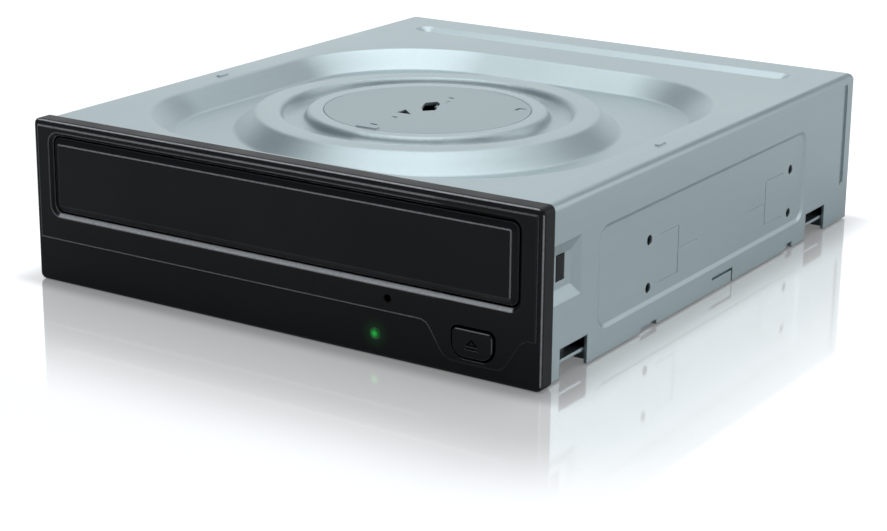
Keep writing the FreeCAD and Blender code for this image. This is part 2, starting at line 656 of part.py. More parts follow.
def revolution(owner, name, profile):
    item = owner.newObject("PartDesign::Revolution", name)
    item.Profile = profile
    item.ReferenceAxis = (profile, ["V_Axis"])
    item.Angle = 360
    return item


def round_edges(owner, name, radius, chosen):
    """Fillets the edges of the body's last feature that pass a test."""
    doc.recompute()
    base = owner.Tip
    names = [f"Edge{n}" for n, edge in enumerate(base.Shape.Edges, start=1) if chosen(edge)]
    item = owner.newObject("PartDesign::Fillet", name)
    item.Base = (base, names)
    bind(item, "Radius", radius)
    return item


def slab(name, plane, u, v, w, radii):
    """A plate with rounded corners, from the low to the high formula of w across its plane."""
    owner = new_body(name)
    low, high = w
    profile = new_sketch(owner, name + "_outline", plane, high if plane == "xz" else low)
    rounded_rectangle(profile, u, v, radii)
    pad(owner, name + "_pad", profile, minus(high, low))
    return owner


def turned(name, centre, corners):
    """A solid of revolution about the vertical axis through centre; corners are radius and height."""
    owner = new_body(name)
    x, y = centre
    bind(owner, "Placement.Base.x", x)
    bind(owner, "Placement.Base.y", y)
    profile = new_sketch(owner, name + "_profile", "xz")
    polygon(profile, corners)
    revolution(owner, name + "_turn", profile)
    return owner


def keep(item, node):
    """Names a finished sub-part."""
    item.Label = node
    parts.append(item)
    return item


def near(first, second):
    return abs(first - second) < 0.02


# Top cover: outer and inner skins of one pressing, cut from each other

def pressed_block(name, inset):
    """A block with the cover's embossing; the inner skin lies one sheet inside the outer."""
    inner = inset != "0"
    owner = new_body(name)
    top = minus(TOP, inset)
    low = minus(BASE, OVER) if inner else BASE
    front = minus(SEAM, OVER) if inner else SEAM
    rear = minus(REAR, inset)
    half = minus(WALL, inset)
    footprint = new_sketch(owner, name + "_footprint", "xy", low)
    polygon(footprint, [(minus(0, half), front), (half, front), (half, rear), (minus(0, half), rear)])
    pad(owner, name + "_mass", footprint, minus(top, low))

    top_now, half_now, rear_now = value(top), value(half), value(rear)

    def bent(edge):
        box = edge.BoundBox
        if not (near(box.ZMin, top_now) and near(box.ZMax, top_now)):
            return False
        at_side = near(box.XMin, box.XMax) and near(abs(box.XMin), half_now)
        at_rear = near(box.YMin, box.YMax) and near(box.YMin, rear_now)
        return at_side or at_rear

    round_edges(owner, name + "_bends", minus("bend", inset), bent)

    recess_y = (plus(SEAM, "recess_front"), plus(SEAM, "recess_front", "recess_length"))
    floor = minus(RECESS_FLOOR, inset)
    corners = ("recess_front_corner", "recess_front_corner", "recess_rear_corner", "recess_rear_corner")
    rim = new_sketch(owner, name + "_rim", "xy", top)
    rounded_rectangle(rim, around("0", RECESS_HALF), recess_y, corners)
    foot = new_sketch(owner, name + "_foot", "xy", floor)
    rounded_rectangle(
        foot,
        around("0", minus(RECESS_HALF, "recess_run")),
        (plus(recess_y[0], "recess_run"), minus(recess_y[1], "recess_run")),
        [minus(corner, "recess_run") for corner in corners],
    )
    recess = owner.newObject("PartDesign::SubtractiveLoft", name + "_recess")
    recess.Profile = rim
    recess.Sections = [foot]
    recess.Ruled = True

    floor_now = value(floor)
    left, right = value(minus(0, RECESS_HALF)), value(RECESS_HALF)
    recess_front, recess_rear = value(recess_y[0]), value(recess_y[1])

    def flat_at(edge, height):
        box = edge.BoundBox
        return near(box.ZMin, height) and near(box.ZMax, height)

    def in_recess(edge):
        box = edge.BoundBox
        inside_x = box.XMin > left - 0.1 and box.XMax < right + 0.1
        inside_y = box.YMin > recess_front - 0.1 and box.YMax < recess_rear + 0.1
        level = flat_at(edge, top_now) or flat_at(edge, floor_now)
        return level and inside_x and inside_y

    round_edges(owner, name + "_soft_recess", "recess_round", in_recess)

    ring_top = minus(TOP, "ring_drop", inset)
    hub_top = minus(HUB_TOP, inset)
    groove = minus(hub_top, "groove_depth")
    seat = minus(PLATE_SEAT, inset)
    buried = minus(floor, "sheet")
    cup = plus("cup_radius", inset)
    ledge = plus("plate_radius", "plate_gap", inset)
    ring = new_sketch(owner, name + "_ring", "xz", SPINDLE)
    polygon(ring, [
        (cup, buried),
        ("ring_foot", buried),
        ("ring_foot", floor),
        ("ring_outer", ring_top),
        ("ring_inner", ring_top),
        (minus("ring_inner", "groove_slope"), groove),
        (plus("hub_outer", "groove_slope"), groove),
        ("hub_outer", hub_top),
        (ledge, hub_top),
        (ledge, seat),
        (cup, seat),
    ])
    revolution(owner, name + "_rings", ring)

    crest = value(ring_top)
    rounds = {value("ring_outer"): crest, value("ring_inner"): crest, value("ring_foot"): floor_now,
              value("hub_outer"): value(hub_top)}
    valley = value(groove)
    rounds[value("ring_inner - groove_slope")] = valley
    rounds[value("hub_outer + groove_slope")] = valley

    def on_ring(edge):
        if not isinstance(edge.Curve, Part.Circle):
            return False
        return any(near(edge.Curve.Radius, r) and flat_at(edge, z) for r, z in rounds.items())

    round_edges(owner, name + "_soft_rings", "ring_round", on_ring)

    bead = new_sketch(owner, name + "_bead_outline", "xy", top)
    bead_middle = minus(REAR, BEAD_REAR, "bead_width / 2")
    bead_half = plus("bead_width / 2", inset)
    rounded_rectangle(
        bead,
        around("0", plus(BEAD_HALF, inset)),
        around(bead_middle, bead_half),
        [f"{bead_half} * 0.9"] * 4,
    )
    pocket(owner, name + "_bead", bead, "bead_depth", lean="-bead_slope")
    return owner


def side_dents(name, inset):
    """The dish, the panel and the upright bead pressed into both side walls."""
    dents = []
    panel_y = (plus(SEAM, "panel_setback"), plus(SEAM, "panel_setback", "panel_length"))
    panel_z = (plus(BASE, "panel_low"), plus(BASE, "panel_low", "panel_height"))
    bead_y = around(minus(REAR, "rib_rear"), "rib_width / 2")
    bead_z = (plus(BASE, "rib_low"), minus(TOP, "rib_top_gap"))
    face = minus(WALL, inset)
    dish_y = (minus(SEAM, OVER), plus(SEAM, "dish_length"))
    dish_z = (plus(BASE, "dish_low"), plus(BASE, "dish_low", "dish_height"))
    dish_floor_y = (minus(SEAM, OVER), minus(dish_y[1], "dish_slope"))
    dish_floor_z = (plus(dish_z[0], "dish_slope"), minus(dish_z[1], "dish_slope"))
    for side, span in both_sides((minus(face, "panel_depth"), face)):
        panel = new_body(f"{name}_panel_{side}")
        level = span[1] if side == "right" else span[0]
        outline = new_sketch(panel, f"{name}_panel_outline_{side}", "yz", level)
        rounded_rectangle(outline, panel_y, panel_z, ["panel_corner"] * 4)
        press = pad(panel, f"{name}_panel_press_{side}", outline, "panel_depth", "-panel_slope")
        press.Reversed = side == "right"
        dents.append(panel)
    for side, span in both_sides((minus(face, "rib_depth"), plus(face, OVER))):
        dents.append(slab(f"{name}_bead_{side}", "yz", bead_y, bead_z, span, ["rib_width * 0.45"] * 4))
    for side, span in both_sides((minus(face, "dish_depth"), face)):
        wide, narrow = (dish_y, dish_z), (dish_floor_y, dish_floor_z)
        foot, head = (narrow, wide) if side == "right" else (wide, narrow)
        dents.append(tapered(f"{name}_dish_{side}", "x", foot, head, span))
    return dents


outer_skin = cut("cover_outer_skin", pressed_block("cover_outer", "0"), *side_dents("outer", "0"))
inner_skin = cut("cover_inner_skin", pressed_block("cover_inner", "sheet"), *side_dents("inner", "sheet"))

openings = []
through_wall = (minus(WALL_IN, "dish_depth", OVER), plus(WALL, OVER))
side_hole_z = (plus(BASE, "side_hole_low"), plus(BASE, "side_hole_low", "side_hole_rise"))
window_y = (plus(SEAM, "window_setback"), plus(SEAM, "window_setback", "window_length"))
window_z = (plus(BASE, "window_low"), plus(BASE, "window_low", "window_height"))
notch_z = (minus(BASE, OVER), plus(BASE, "notch_height"))
for side, span in both_sides(through_wall):
    for along, hole_y in zip(("front", "rear"), MOUNT_Y):
        for level, hole_z in zip(("low", "high"), side_hole_z):
            openings.append(rod(f"side_hole_{side}_{along}_{level}", "x", (hole_y, hole_z), span,
                                "mount_hole"))
    openings.append(block(f"clip_window_{side}", span, window_y, window_z))
    for along, setback in (("front", "notch_front"), ("rear", NOTCH_REAR)):
        notch_y = (plus(SEAM, setback), plus(SEAM, setback, "notch_length"))
        openings.append(block(f"notch_{side}_{along}", span, notch_y, notch_z))
for side, span in both_sides((minus(WALL_IN, OVER), plus(WALL, OVER))):
    slit_y = (plus(SEAM, "latch_setback"), plus(SEAM, "latch_setback", "latch_length"))
    slit_z = (plus(BASE, "latch_low"), plus(BASE, "latch_low", "latch_slit"))
    openings.append(block(f"latch_slit_{side}", span, slit_y, slit_z))
    openings.append(block(f"latch_cut_{side}", span, (minus(slit_y[1], "latch_slit"), slit_y[1]),
                          (minus(BASE, OVER), slit_z[1])))
EDGE_NOTCHES = ((43.5, 8.0, 1.2), (125.0, 4.0, 1.6))
for side, span in both_sides((minus(WALL_IN, OVER), plus(WALL, OVER))):
    for index, (setback, length, height) in enumerate(EDGE_NOTCHES):
        gap_y = (plus(SEAM, setback), plus(SEAM, setback, length))
        openings.append(block(f"edge_notch_{side}_{index}", span, gap_y,
                              (minus(BASE, OVER), plus(BASE, height))))
panel_face = minus(WALL, "panel_depth")
line_z = f"(({side_hole_z[0]} + {side_hole_z[1]}) / 2)"
upright_y = (plus(MOUNT_Y[0], "line_gap"), minus(MOUNT_Y[1], "line_gap"))
for side, span in both_sides((minus(panel_face, "line_depth"), plus(panel_face, OVER))):
    for index, y in enumerate(upright_y):
        outward = (minus(y, "line_reach"), y) if index == 0 else (y, plus(y, "line_reach"))
        inward = (y, plus(y, "line_reach")) if index == 0 else (minus(y, "line_reach"), y)
        openings.append(block(f"upright_line_{side}_{index}", span, around(y, "line_width / 2"), side_hole_z))
        openings.append(block(f"middle_line_{side}_{index}", span, inward, around(line_z, "line_width / 2")))
        for level, z in zip(("low", "high"), side_hole_z):
            openings.append(block(f"level_line_{side}_{index}_{level}", span, outward,
                                  around(z, "line_width / 2")))
openings.append(rod("clamp_opening", "z", ("0", SPINDLE), (minus(RECESS_FLOOR, "sheet", OVER), TOP),
                    "clamp_hole"))
openings.append(block(
    "connector_port",
    around("connector_across", "connector_width / 2 + port_margin"),
    (minus(REAR_IN, OVER), plus(REAR, OVER)),
    (minus(BASE, OVER), plus(BOARD_TOP, "connector_height", "port_margin")),
))
lances = []
for side, x in (("right", LANCE_X), ("left", minus(0, LANCE_X))):
    lance_y = around(SPINDLE, "lance_length / 2")
    tab_x = around(x, "lance_width / 2")
    lances.append(block(f"lance_tab_{side}", tab_x, lance_y, (minus(TOP, "sheet / 2"),
                                                              plus(TOP, "lance_rise"))))
keep(join("cover_shell", cut("cover", outer_skin, inner_skin, *openings), *lances), "top_cover")

# Clamp plate: hexagonal hole, two tongues bent down beside three-sided windows, small slots and a rim tab
HEXAGON = ((-2.0, 0.3), (0.3, -2.6), (2.4, 0.0), (-0.4, 6.6), (-2.6, 8.4), (-4.4, 5.6))
WINDOWS = (((-4.4, -7.6), (-0.2, -7.4), (-4.3, -3.6)), ((-0.9, 10.2), (1.0, 7.0), (0.6, 10.4)))
SLOTS = ((-1.9, -12.0, 1.5, 0.9), (-1.7, 14.0, 1.5, 0.9), (-1.8, -21.4, 2.0, 0.8), (19.2, 13.0, 0.8, 2.6),
         (20.0, 14.0, 2.4, 0.8))
TONGUES = (("front", -4.3, 3.9, -3.6, 0.2), ("rear", -2.6, 3.2, 9.8, 7.4))
PLATE_TOP = plus(PLATE_SEAT, "sheet")


def plate_point(corner):
    across, along = corner
    return across, plus(SPINDLE, along)


clamp_body = new_body("clamp_disc")
clamp_outline = new_sketch(clamp_body, "clamp_outline", "xy", PLATE_SEAT)
circle(clamp_outline, ("0", SPINDLE), "plate_radius")
pad(clamp_body, "clamp_pad", clamp_outline, "sheet")
for index, corners in enumerate((HEXAGON, *WINDOWS)):
    outline = new_sketch(clamp_body, f"clamp_window_{index}", "xy", PLATE_TOP)
    polygon(outline, [plate_point(corner) for corner in corners])
    pocket(clamp_body, f"clamp_window_cut_{index}", outline, "sheet")
clamp_slots = [block(f"clamp_slot_{index}", around(across,
                                                   length / 2), around(plus(SPINDLE, along), width / 2),
                     (minus(PLATE_SEAT, OVER), plus(PLATE_TOP, OVER)))
               for index, (across, along, length, width) in enumerate(SLOTS)]
tongues = []
for name, left, width, root, tip in TONGUES:
    tongue = new_body(f"clamp_tongue_{name}")
    bend = new_sketch(tongue, f"clamp_bend_{name}", "yz", left)
    low = minus(PLATE_TOP, "tongue_drop")
    polygon(bend, [
        (plus(SPINDLE, root), PLATE_TOP),
        (plus(SPINDLE, tip), low),
        (plus(SPINDLE, tip), minus(low, "sheet")),
        (plus(SPINDLE, root), PLATE_SEAT),
    ])
    pad(tongue, f"clamp_tongue_pad_{name}", bend, width)
    tongues.append(tongue)
rim_tab_front = minus(SPINDLE, "plate_radius - plate_gap * 3")
rim_tab_y = (rim_tab_front, plus(rim_tab_front, "rim_tab_length"))
rim_tab = block("rim_tab", around(minus(0, "lance_width"), "rim_tab_width / 2"), rim_tab_y,
                (minus(PLATE_TOP, "sheet / 2"), plus(PLATE_TOP, "rim_tab_rise")))
keep(join("clamp_disc_bent", cut("clamp_disc_cut", clamp_body, *clamp_slots), *tongues, rim_tab),
     "clamp_plate")

# Bottom plate: sheet floor, side flanges, raised corner pockets and drawn collars
PLATE_HALF = minus(WALL_IN, "fold_gap")
PLATE_FRONT = plus(SEAM, "fold_gap")
PLATE_REAR = minus(REAR_IN, "fold_gap")
pocket_x = (minus(PLATE_HALF, "pocket_width"), PLATE_HALF)
pocket_spans = [(plus(SEAM, setback), plus(SEAM, setback,
                                           "notch_length")) for setback in ("notch_front", NOTCH_REAR)]


def pocket_mass(name, side, y, z, past):
    """The tapered mass of one corner pocket, open towards the side wall."""
    inner, edge = pocket_x
    head_x = (inner, plus(edge, past))
    foot_x = (minus(inner, "pocket_ramp"), plus(edge, past))
    foot_y = (minus(y[0], "pocket_ramp"), plus(y[1], "pocket_ramp"))
    if side == "left":
        head_x, foot_x = flipped(head_x), flipped(foot_x)
    return tapered(name, "z", (foot_x, foot_y), (head_x, y), z)


flat = block("plate_flat", around("0", PLATE_HALF), (PLATE_FRONT, PLATE_REAR), (BASE, FLOOR))
raised = [flat]
sunk = []
for side in ("right", "left"):
    for along, y in zip(("front", "rear"), pocket_spans):
        raised.append(pocket_mass(f"pocket_{side}_{along}", side, y, (FLOOR, POCKET_TOP), 0))
        sunk.append(pocket_mass(f"pocket_under_{side}_{along}", side, y, (BASE, minus(POCKET_TOP, "sheet")),
                                OVER))
flange_y = (plus(pocket_spans[0][1], "pocket_ramp * 2"), minus(pocket_spans[1][0], "pocket_ramp * 2"))
for side, span in both_sides((minus(PLATE_HALF, "sheet"), PLATE_HALF)):
    raised.append(block(f"plate_flange_{side}", span, flange_y, (BASE, plus(FLOOR, "flange_height"))))
for side, across in (("right", BOTTOM_HOLE_X), ("left", minus(0, BOTTOM_HOLE_X))):
    for along, y in zip(("front", "rear"), MOUNT_Y):
        collar = plus("mount_hole", "collar_wall")
        raised.append(rod(f"collar_{side}_{along}", "z", (across, y), (BASE, plus(FLOOR, "collar_height")),
                          collar))
        drill = (minus(BASE, OVER), plus(FLOOR, "collar_height", OVER))
        sunk.append(rod(f"bottom_hole_{side}_{along}", "z", (across, y), drill, "mount_hole"))
SCREW_X = minus(PLATE_HALF, "pocket_width / 2")
SCREW_Y = [f"(({low} + {high}) / 2)" for low, high in pocket_spans]
corner_screws = [(side, along, x, y) for side, x in (("right", SCREW_X), ("left", minus(0, SCREW_X)))
                 for along, y in zip(("front", "rear"), SCREW_Y)]
for side, along, x, y in corner_screws:
    drill = (BASE, plus(POCKET_TOP, OVER))
    sunk.append(rod(f"screw_hole_{side}_{along}", "z", (x, y), drill, plus("screw_shank", "screw_gap")))
keep(cut("floor_plate", join("plate_raised", *raised), *sunk), "bottom_plate")


def small_screw(name, x, y, seat, up=True):
    """A pan-head screw whose head bears on seat; up says which way its shank points."""
    if up:
        head = rod(name + "_head", "z", (x, y), (minus(seat, "screw_head_height"), seat), "screw_head")
        shank = rod(name + "_shank", "z", (x, y), (seat, plus(seat, "sheet", "screw_bite")), "screw_shank")
    else:
        head = rod(name + "_head", "z", (x, y), (seat, plus(seat, "screw_head_height")), "screw_head")
        shank = rod(name + "_shank", "z", (x, y), (minus(seat, "sheet", "screw_bite"), seat), "screw_shank")
    return join(name, head, shank)


keep(group("corner_screws", *[
    small_screw(f"corner_screw_{side}_{along}", x, y, minus(POCKET_TOP, "sheet"))
    for side, along, x, y in corner_screws
]), "cover_screws")

# Bezel: hollow moulding, raised face with an apron round the button, hooks for the cover's windows
step_face = plus(FRONT, "face_step")
shell = slab("bezel_shell", "xz", around("0", BEZEL_HALF), ("0", BEZEL_TOP), (step_face, SEAM),
             ["bezel_corner"] * 4)
step_now = value(step_face)
round_edges(shell, "bezel_soft", "bezel_edge", lambda edge: near(edge.BoundBox.YMin, step_now)
            and near(edge.BoundBox.YMax, step_now))
raised_face = new_body("bezel_face")
face_outline = new_sketch(raised_face, "face_outline", "xz", step_face)
face_x = around("0", minus(BEZEL_HALF, "face_margin"))
apron_left = minus(BUTTON_LEFT, "apron_margin")
apron_right = plus(BUTTON_LEFT, "button_width", "apron_margin")
shoulder_left = minus(apron_left, "apron_spread")
shoulder_right = plus(apron_right, "apron_spread")
polygon(face_outline, [
    (face_x[0], "face_low"),
    (shoulder_left, "face_low"),
    (apron_left, "apron_low"),
    (apron_right, "apron_low"),
    (shoulder_right, "face_low"),
    (face_x[1], "face_low"),
    (face_x[1], minus(BEZEL_TOP, "face_margin")),
    (face_x[0], minus(BEZEL_TOP, "face_margin")),
])
pad(raised_face, "face_pad", face_outline, "face_step")
apron_now = [value(formula) for formula in (shoulder_left, apron_left, apron_right, shoulder_right)]


def apron_edge(edge):
    box = edge.BoundBox
    return box.YLength > 0.1 and near(box.XMin, box.XMax) and any(near(box.XMin, x) for x in apron_now)


round_edges(raised_face, "face_soft", "apron_round", apron_edge)
hollow = block("bezel_hollow", around("0", minus(BEZEL_HALF, "bezel_side")), (BEZEL_INSIDE, plus(SEAM, OVER)),
               ("bezel_side", minus(BEZEL_TOP, "bezel_side")))
through_face = (minus(FRONT, OVER), plus(BEZEL_INSIDE, OVER))
door_x = around("0", DOOR_HALF)
door_z = (DOOR_LOW, DOOR_TOP)
door_opening = slab("door_opening", "xz", door_x, door_z, through_face, ["door_corner"] * 4)
lip = new_body("door_lip_cut")
lip_back = plus(FRONT, "door_lip")
lip_outline = new_sketch(lip, "door_lip_outline", "xz", lip_back)
rounded_rectangle(lip_outline, door_x, door_z, ["door_corner"] * 4)
pad(lip, "door_lip_spread", lip_outline, "door_lip", "45")
button_x = (BUTTON_LEFT, plus(BUTTON_LEFT, "button_width"))
button_z = ("button_low", "button_low + button_height")
button_radii = ["button_sweep", "button_sweep", "button_corner", "button_corner"]
button_opening = slab("button_opening", "xz", button_x, button_z, through_face, button_radii)
led_opening = rod("led_opening", "y", (LED_X, "led_height"), through_face, plus("led_radius", "light_gap"))
pin_opening = rod("pin_opening", "y", (PIN_X, PIN_Z), through_face, "pin_hole")
moulding = cut("bezel_moulding", join("bezel_mass", shell, raised_face), hollow, door_opening, lip,
               button_opening, led_opening, pin_opening)
hooks = []
hook_outer = minus(WALL_IN, "dish_depth", "hook_gap")
hook_y = (minus(SEAM, "bezel_wall / 2"), plus(window_y[1], "hook_gap"))
hook_z = (plus(window_z[0], "hook_gap"), minus(window_z[1], "hook_gap"))
root_y = (BEZEL_INSIDE, SEAM)
for side, span in both_sides((minus(hook_outer, "hook_thick"), hook_outer)):
    hooks.append(block(f"hook_arm_{side}", span, hook_y, hook_z))
for side, span in both_sides((hook_outer, minus(WALL, "dish_depth"))):
    barb_y = (plus(window_y[0], "hook_gap"), minus(window_y[1], "hook_gap"))
    hooks.append(block(f"hook_barb_{side}", span, barb_y, hook_z))
for side, span in both_sides((minus(hook_outer, "hook_thick"), minus(BEZEL_HALF, "bezel_side / 2"))):
    hooks.append(block(f"hook_root_{side}", span, root_y, hook_z))
keep(join("front_bezel", moulding, *hooks), "bezel")

# Tray door with a bevelled face
door_back = plus(FRONT, "door_sink", "door_thick")
door_inner_x = around("0", minus(DOOR_HALF, "door_gap"))
door_inner_z = (plus(DOOR_LOW, "door_gap"), minus(DOOR_TOP, "door_gap"))
door_radii = [minus("door_corner", "door_gap / 2")] * 4
bevel_back = plus(FRONT, "door_sink", "door_bevel")
door = slab("door_panel", "xz", door_inner_x, door_inner_z, (bevel_back, door_back), door_radii)
door_face = new_sketch(door, "door_face", "xz", bevel_back)
rounded_rectangle(door_face, door_inner_x, door_inner_z, door_radii)
pad(door, "door_bevels", door_face, "door_bevel", "-door_bevel_slope")
keep(door, "tray_door")

# Eject button: cap with an engraved mark, inner flange and stem
cap_front = minus(FRONT, "button_proud")
flange_front = plus(BEZEL_INSIDE, "rail_gap")
flange_back = plus(flange_front, "button_flange")
cap_x = (plus(button_x[0], "button_gap"), minus(button_x[1], "button_gap"))
cap_z = (plus(button_z[0], "button_gap"), minus(button_z[1], "button_gap"))
cap = slab("button_cap", "xz", cap_x, cap_z, (cap_front, flange_back),
           [minus(radius, "button_gap") for radius in button_radii])
cap_now = value(cap_front)
round_edges(cap, "button_soft", "button_gap * 0.7", lambda edge: near(edge.BoundBox.YMin, cap_now)
            and near(edge.BoundBox.YMax, cap_now))
mark_slant = "sqrt(mark_half^2 + mark_height^2)"
mark_side = f"(mark_line * {mark_slant} / mark_height)"
mark_tip = f"(mark_line * {mark_slant} / mark_half)"
mark_foot = minus(BUTTON_Z, "(mark_height - mark_gap - mark_line) / 2")
mark_head = plus(mark_foot, "mark_height")
inner_half = minus("mark_half * (1 - mark_line / mark_height)", mark_side)
inner_foot = plus(mark_foot, "mark_line")
bar_top = minus(mark_foot, "mark_gap")
eject_mark = new_sketch(cap, "eject_mark", "xz", cap_front)
mark_x = around(BUTTON_X, "mark_half")
inner_x = around(BUTTON_X, inner_half)
polygon(eject_mark, [(mark_x[0], mark_foot), (mark_x[1], mark_foot), (BUTTON_X, mark_head)])
polygon(eject_mark, [(inner_x[0], inner_foot), (inner_x[1], inner_foot),
                     (BUTTON_X, minus(mark_head, mark_tip))])
bar_low = minus(bar_top, "mark_line")
polygon(eject_mark, [(mark_x[0], bar_low), (mark_x[1], bar_low), (mark_x[1], bar_top), (mark_x[0], bar_top)])
pocket(cap, "eject_mark_groove", eject_mark, "mark_depth")
flange = slab("button_flange_plate", "xz", (minus(button_x[0], "button_gap"),
                                            plus(button_x[1], "button_gap")),
              cap_z, (flange_front, flange_back), ["button_corner"] * 4)
SWITCH_FRONT = minus(FRONT_BOARD_Y, "switch_depth")
PLUNGER_TIP = minus(SWITCH_FRONT, "plunger_reach")
stem_tip = minus(PLUNGER_TIP, "light_gap")
stem = rod("button_stem_rod", "y", (BUTTON_X, BUTTON_Z), (flange_back, stem_tip), "button_stem")
keep(join("button", cap, flange, stem), "eject_button")

# Activity light: light pipe in the bezel and diode on the front board
LED_TIP = minus(FRONT_BOARD_Y, "switch_depth")
pipe_flange = rod("pipe_flange", "y", (LED_X, "led_height"), (BEZEL_INSIDE,
                                                              plus(BEZEL_INSIDE, "button_flange")),
                  plus("led_radius", "light_gap * 8"))
pipe = rod("pipe_rod", "y", (LED_X, "led_height"), (plus(FRONT, "light_gap"), minus(LED_TIP, "rail_gap")),
           "led_radius")
keep(join("light_pipe", pipe_flange, pipe), "led_lens")

front_board_x = (minus(LED_X, "front_board_margin"), plus(BUTTON_X, "front_board_reach"))
front_board_z = (plus(FLOOR, "cable_lift * 3"), minus(DECK_LEVEL, "front_board_gap"))
front_board_y = (FRONT_BOARD_Y, plus(FRONT_BOARD_Y, "board_thick"))
keep(block("front_panel_board", front_board_x, front_board_y, front_board_z), "front_board")
plunger_axis = (BUTTON_X, BUTTON_Z)
plunger_end = plus(SWITCH_FRONT, "light_gap")
case = block("switch_case", around(BUTTON_X, "switch_side / 2"), (SWITCH_FRONT, FRONT_BOARD_Y),
             around(BUTTON_Z, "switch_side / 2"))
well = rod("plunger_well", "y", plunger_axis, (minus(SWITCH_FRONT, OVER),
                                               plus(plunger_end, "button_travel + rail_gap")),
           plus("plunger_radius", "gear_play"))
keep(cut("switch", case, well), "eject_switch")
keep(rod("switch_button", "y", plunger_axis, (PLUNGER_TIP, plunger_end), "plunger_radius"), "switch_plunger")
keep(rod("diode", "y", (LED_X, "led_height"), (LED_TIP, FRONT_BOARD_Y), "led_body"), "status_led")

# Disc tray: rim plate, round cup with two disc recesses, side rails, rack and stiffening rib
tray_front = door_back
tray_y = (tray_front, TRAY_REAR)
rim_plate = block("tray_rim_plate", around("0", TRAY_HALF), tray_y, (minus(RIM_TOP, "tray_wall"), RIM_TOP))
cup_mass = rod("tray_cup", "z", ("0", SPINDLE), (TRAY_LEVEL, RIM_TOP), plus("disc_recess", "tray_wall"))
front_wall = block("tray_front_wall", around("0", TRAY_HALF), (tray_front, plus(tray_front, "tray_wall")),
                   (TRAY_LEVEL, RIM_TOP))
rails = [block(f"tray_rail_{side}", span, tray_y, (TRAY_LEVEL, RIM_TOP))
         for side, span in both_sides((minus(TRAY_HALF, "tray_wall"), TRAY_HALF))]
rack_root = plus("rack_offset", "rack_module * 1.25")
rib_x = (rack_root, plus(rack_root, "rack_back"))
rib_y = (plus(tray_front, "tray_wall"), TRAY_REAR)
rib = block("tray_rib", rib_x, rib_y, (RACK_LOW, minus(RIM_TOP, "tray_wall / 2")))

# The rack: a wall under the tray's left side with straight-sided teeth towards the pinion
PRESSURE = math.tan(math.radians(20.0))
ROOT_DEPTH = 1.25
rack_pitch = f"({math.pi} * rack_module)"
rack_body = new_body("tray_rack")
rack_outline = new_sketch(rack_body, "rack_outline", "xy", RACK_LOW)
back, root = flipped(rib_x)
polygon(rack_outline, [(back, rib_y[0]), (root, rib_y[0]), (root, rib_y[1]), (back, rib_y[1])])
pad(rack_body, "rack_wall", rack_outline, minus(RIM_TOP, "tray_wall / 2", RACK_LOW))
rack_tooth = new_sketch(rack_body, "rack_tooth", "xy", RACK_LOW)
first_tooth = minus(GEAR_Y, f"{rack_pitch} * 1.5")
half_pitch = f"({rack_pitch} / 4 - mesh_slack / 2)"
half_root = f"({half_pitch} + {PRESSURE * ROOT_DEPTH} * rack_module)"
half_tip = f"({half_pitch} - {PRESSURE} * rack_module)"
buried = minus(root, "rack_back / 2")
tip = plus(root, f"rack_module * {1 + ROOT_DEPTH}")
polygon(rack_tooth, [
    (buried, minus(first_tooth, half_root)),
    (root, minus(first_tooth, half_root)),
    (tip, minus(first_tooth, half_tip)),
    (tip, plus(first_tooth, half_tip)),
    (root, plus(first_tooth, half_root)),
    (buried, plus(first_tooth, half_root)),
])
tooth_pad = pad(rack_body, "rack_tooth_pad", rack_tooth, minus(TRAY_LEVEL, RACK_LOW))
rack_row = rack_body.newObject("PartDesign::LinearPattern", "rack_row")
rack_row.Originals = [tooth_pad]
rack_row.Direction = (rack_tooth, ["V_Axis"])
rack_row.Mode = "Spacing"
bind(rack_row, "Offset", rack_pitch)
bind(rack_row, "Occurrences", f"floor(tray_travel / {rack_pitch}) + 3")
rack_body.Tip = rack_row
tray_mass = join("tray_mass", rim_plate, cup_mass, front_wall, rib, rack_body, *rails)
large = rod("large_recess", "z", ("0", SPINDLE), (plus(TRAY_LEVEL, "tray_floor"), plus(RIM_TOP, OVER)),
            "disc_recess")
small = rod("small_recess_cut", "z", ("0", SPINDLE),
            (plus(TRAY_LEVEL, "tray_floor", "-small_recess_depth"), plus(RIM_TOP, OVER)), "small_recess")
slot_depth = (minus(RACK_LOW, OVER), plus(RIM_TOP, OVER))
slot_front = plus(SPINDLE, "-tray_slot_front", "tray_slot")
slot_long = block("tray_slot_long", around("0", "tray_slot"), (slot_front, plus(TRAY_REAR, OVER)), slot_depth)
slot_round = rod("tray_slot_round", "z", ("0", slot_front), slot_depth, "tray_slot")
trim = block("tray_trim", around("0", TRAY_HALF), tray_y, slot_depth)
keep(cut("disc_tray", common("tray_trimmed", tray_mass, trim), large, small, slot_long, slot_round), "tray")

# Cam slider: a bar whose slanted slot carries the traverse's lug
slot_half = "((lug_radius + lug_slack) * sqrt(1 + (lug_drop / cam_travel)^2))"
CAM_LOW = minus(HINGE_Z, "lug_drop", slot_half, "cam_rim")
CAM_TOP = plus(HINGE_Z, slot_half, "cam_rim")
cam_x = ("-cam_margin", "cam_travel + cam_margin")
cam_bar = block("cam_bar", cam_x, (CAM_FRONT, CAM_REAR), (CAM_LOW, CAM_TOP))
slant = new_body("cam_slant")
slant_outline = new_sketch(slant, "slant_outline", "xz", plus(CAM_REAR, OVER))
slot_end = minus(HINGE_Z, "lug_drop")
polygon(slant_outline, [
    ("0", minus(HINGE_Z, slot_half)),
    ("cam_travel", minus(slot_end, slot_half)),
    ("cam_travel", plus(slot_end, slot_half)),
    ("0", plus(HINGE_Z, slot_half)),
])
pad(slant, "slant_pad", slant_outline, plus("cam_thick", 2 * OVER))
cam_through = (minus(CAM_FRONT, OVER), plus(CAM_REAR, OVER))
slot_radius = plus("lug_radius", "lug_slack")
cam_start = rod("cam_slot_start", "y", ("0", HINGE_Z), cam_through, slot_radius)
cam_end = rod("cam_slot_end", "y", ("cam_travel", slot_end), cam_through, slot_radius)
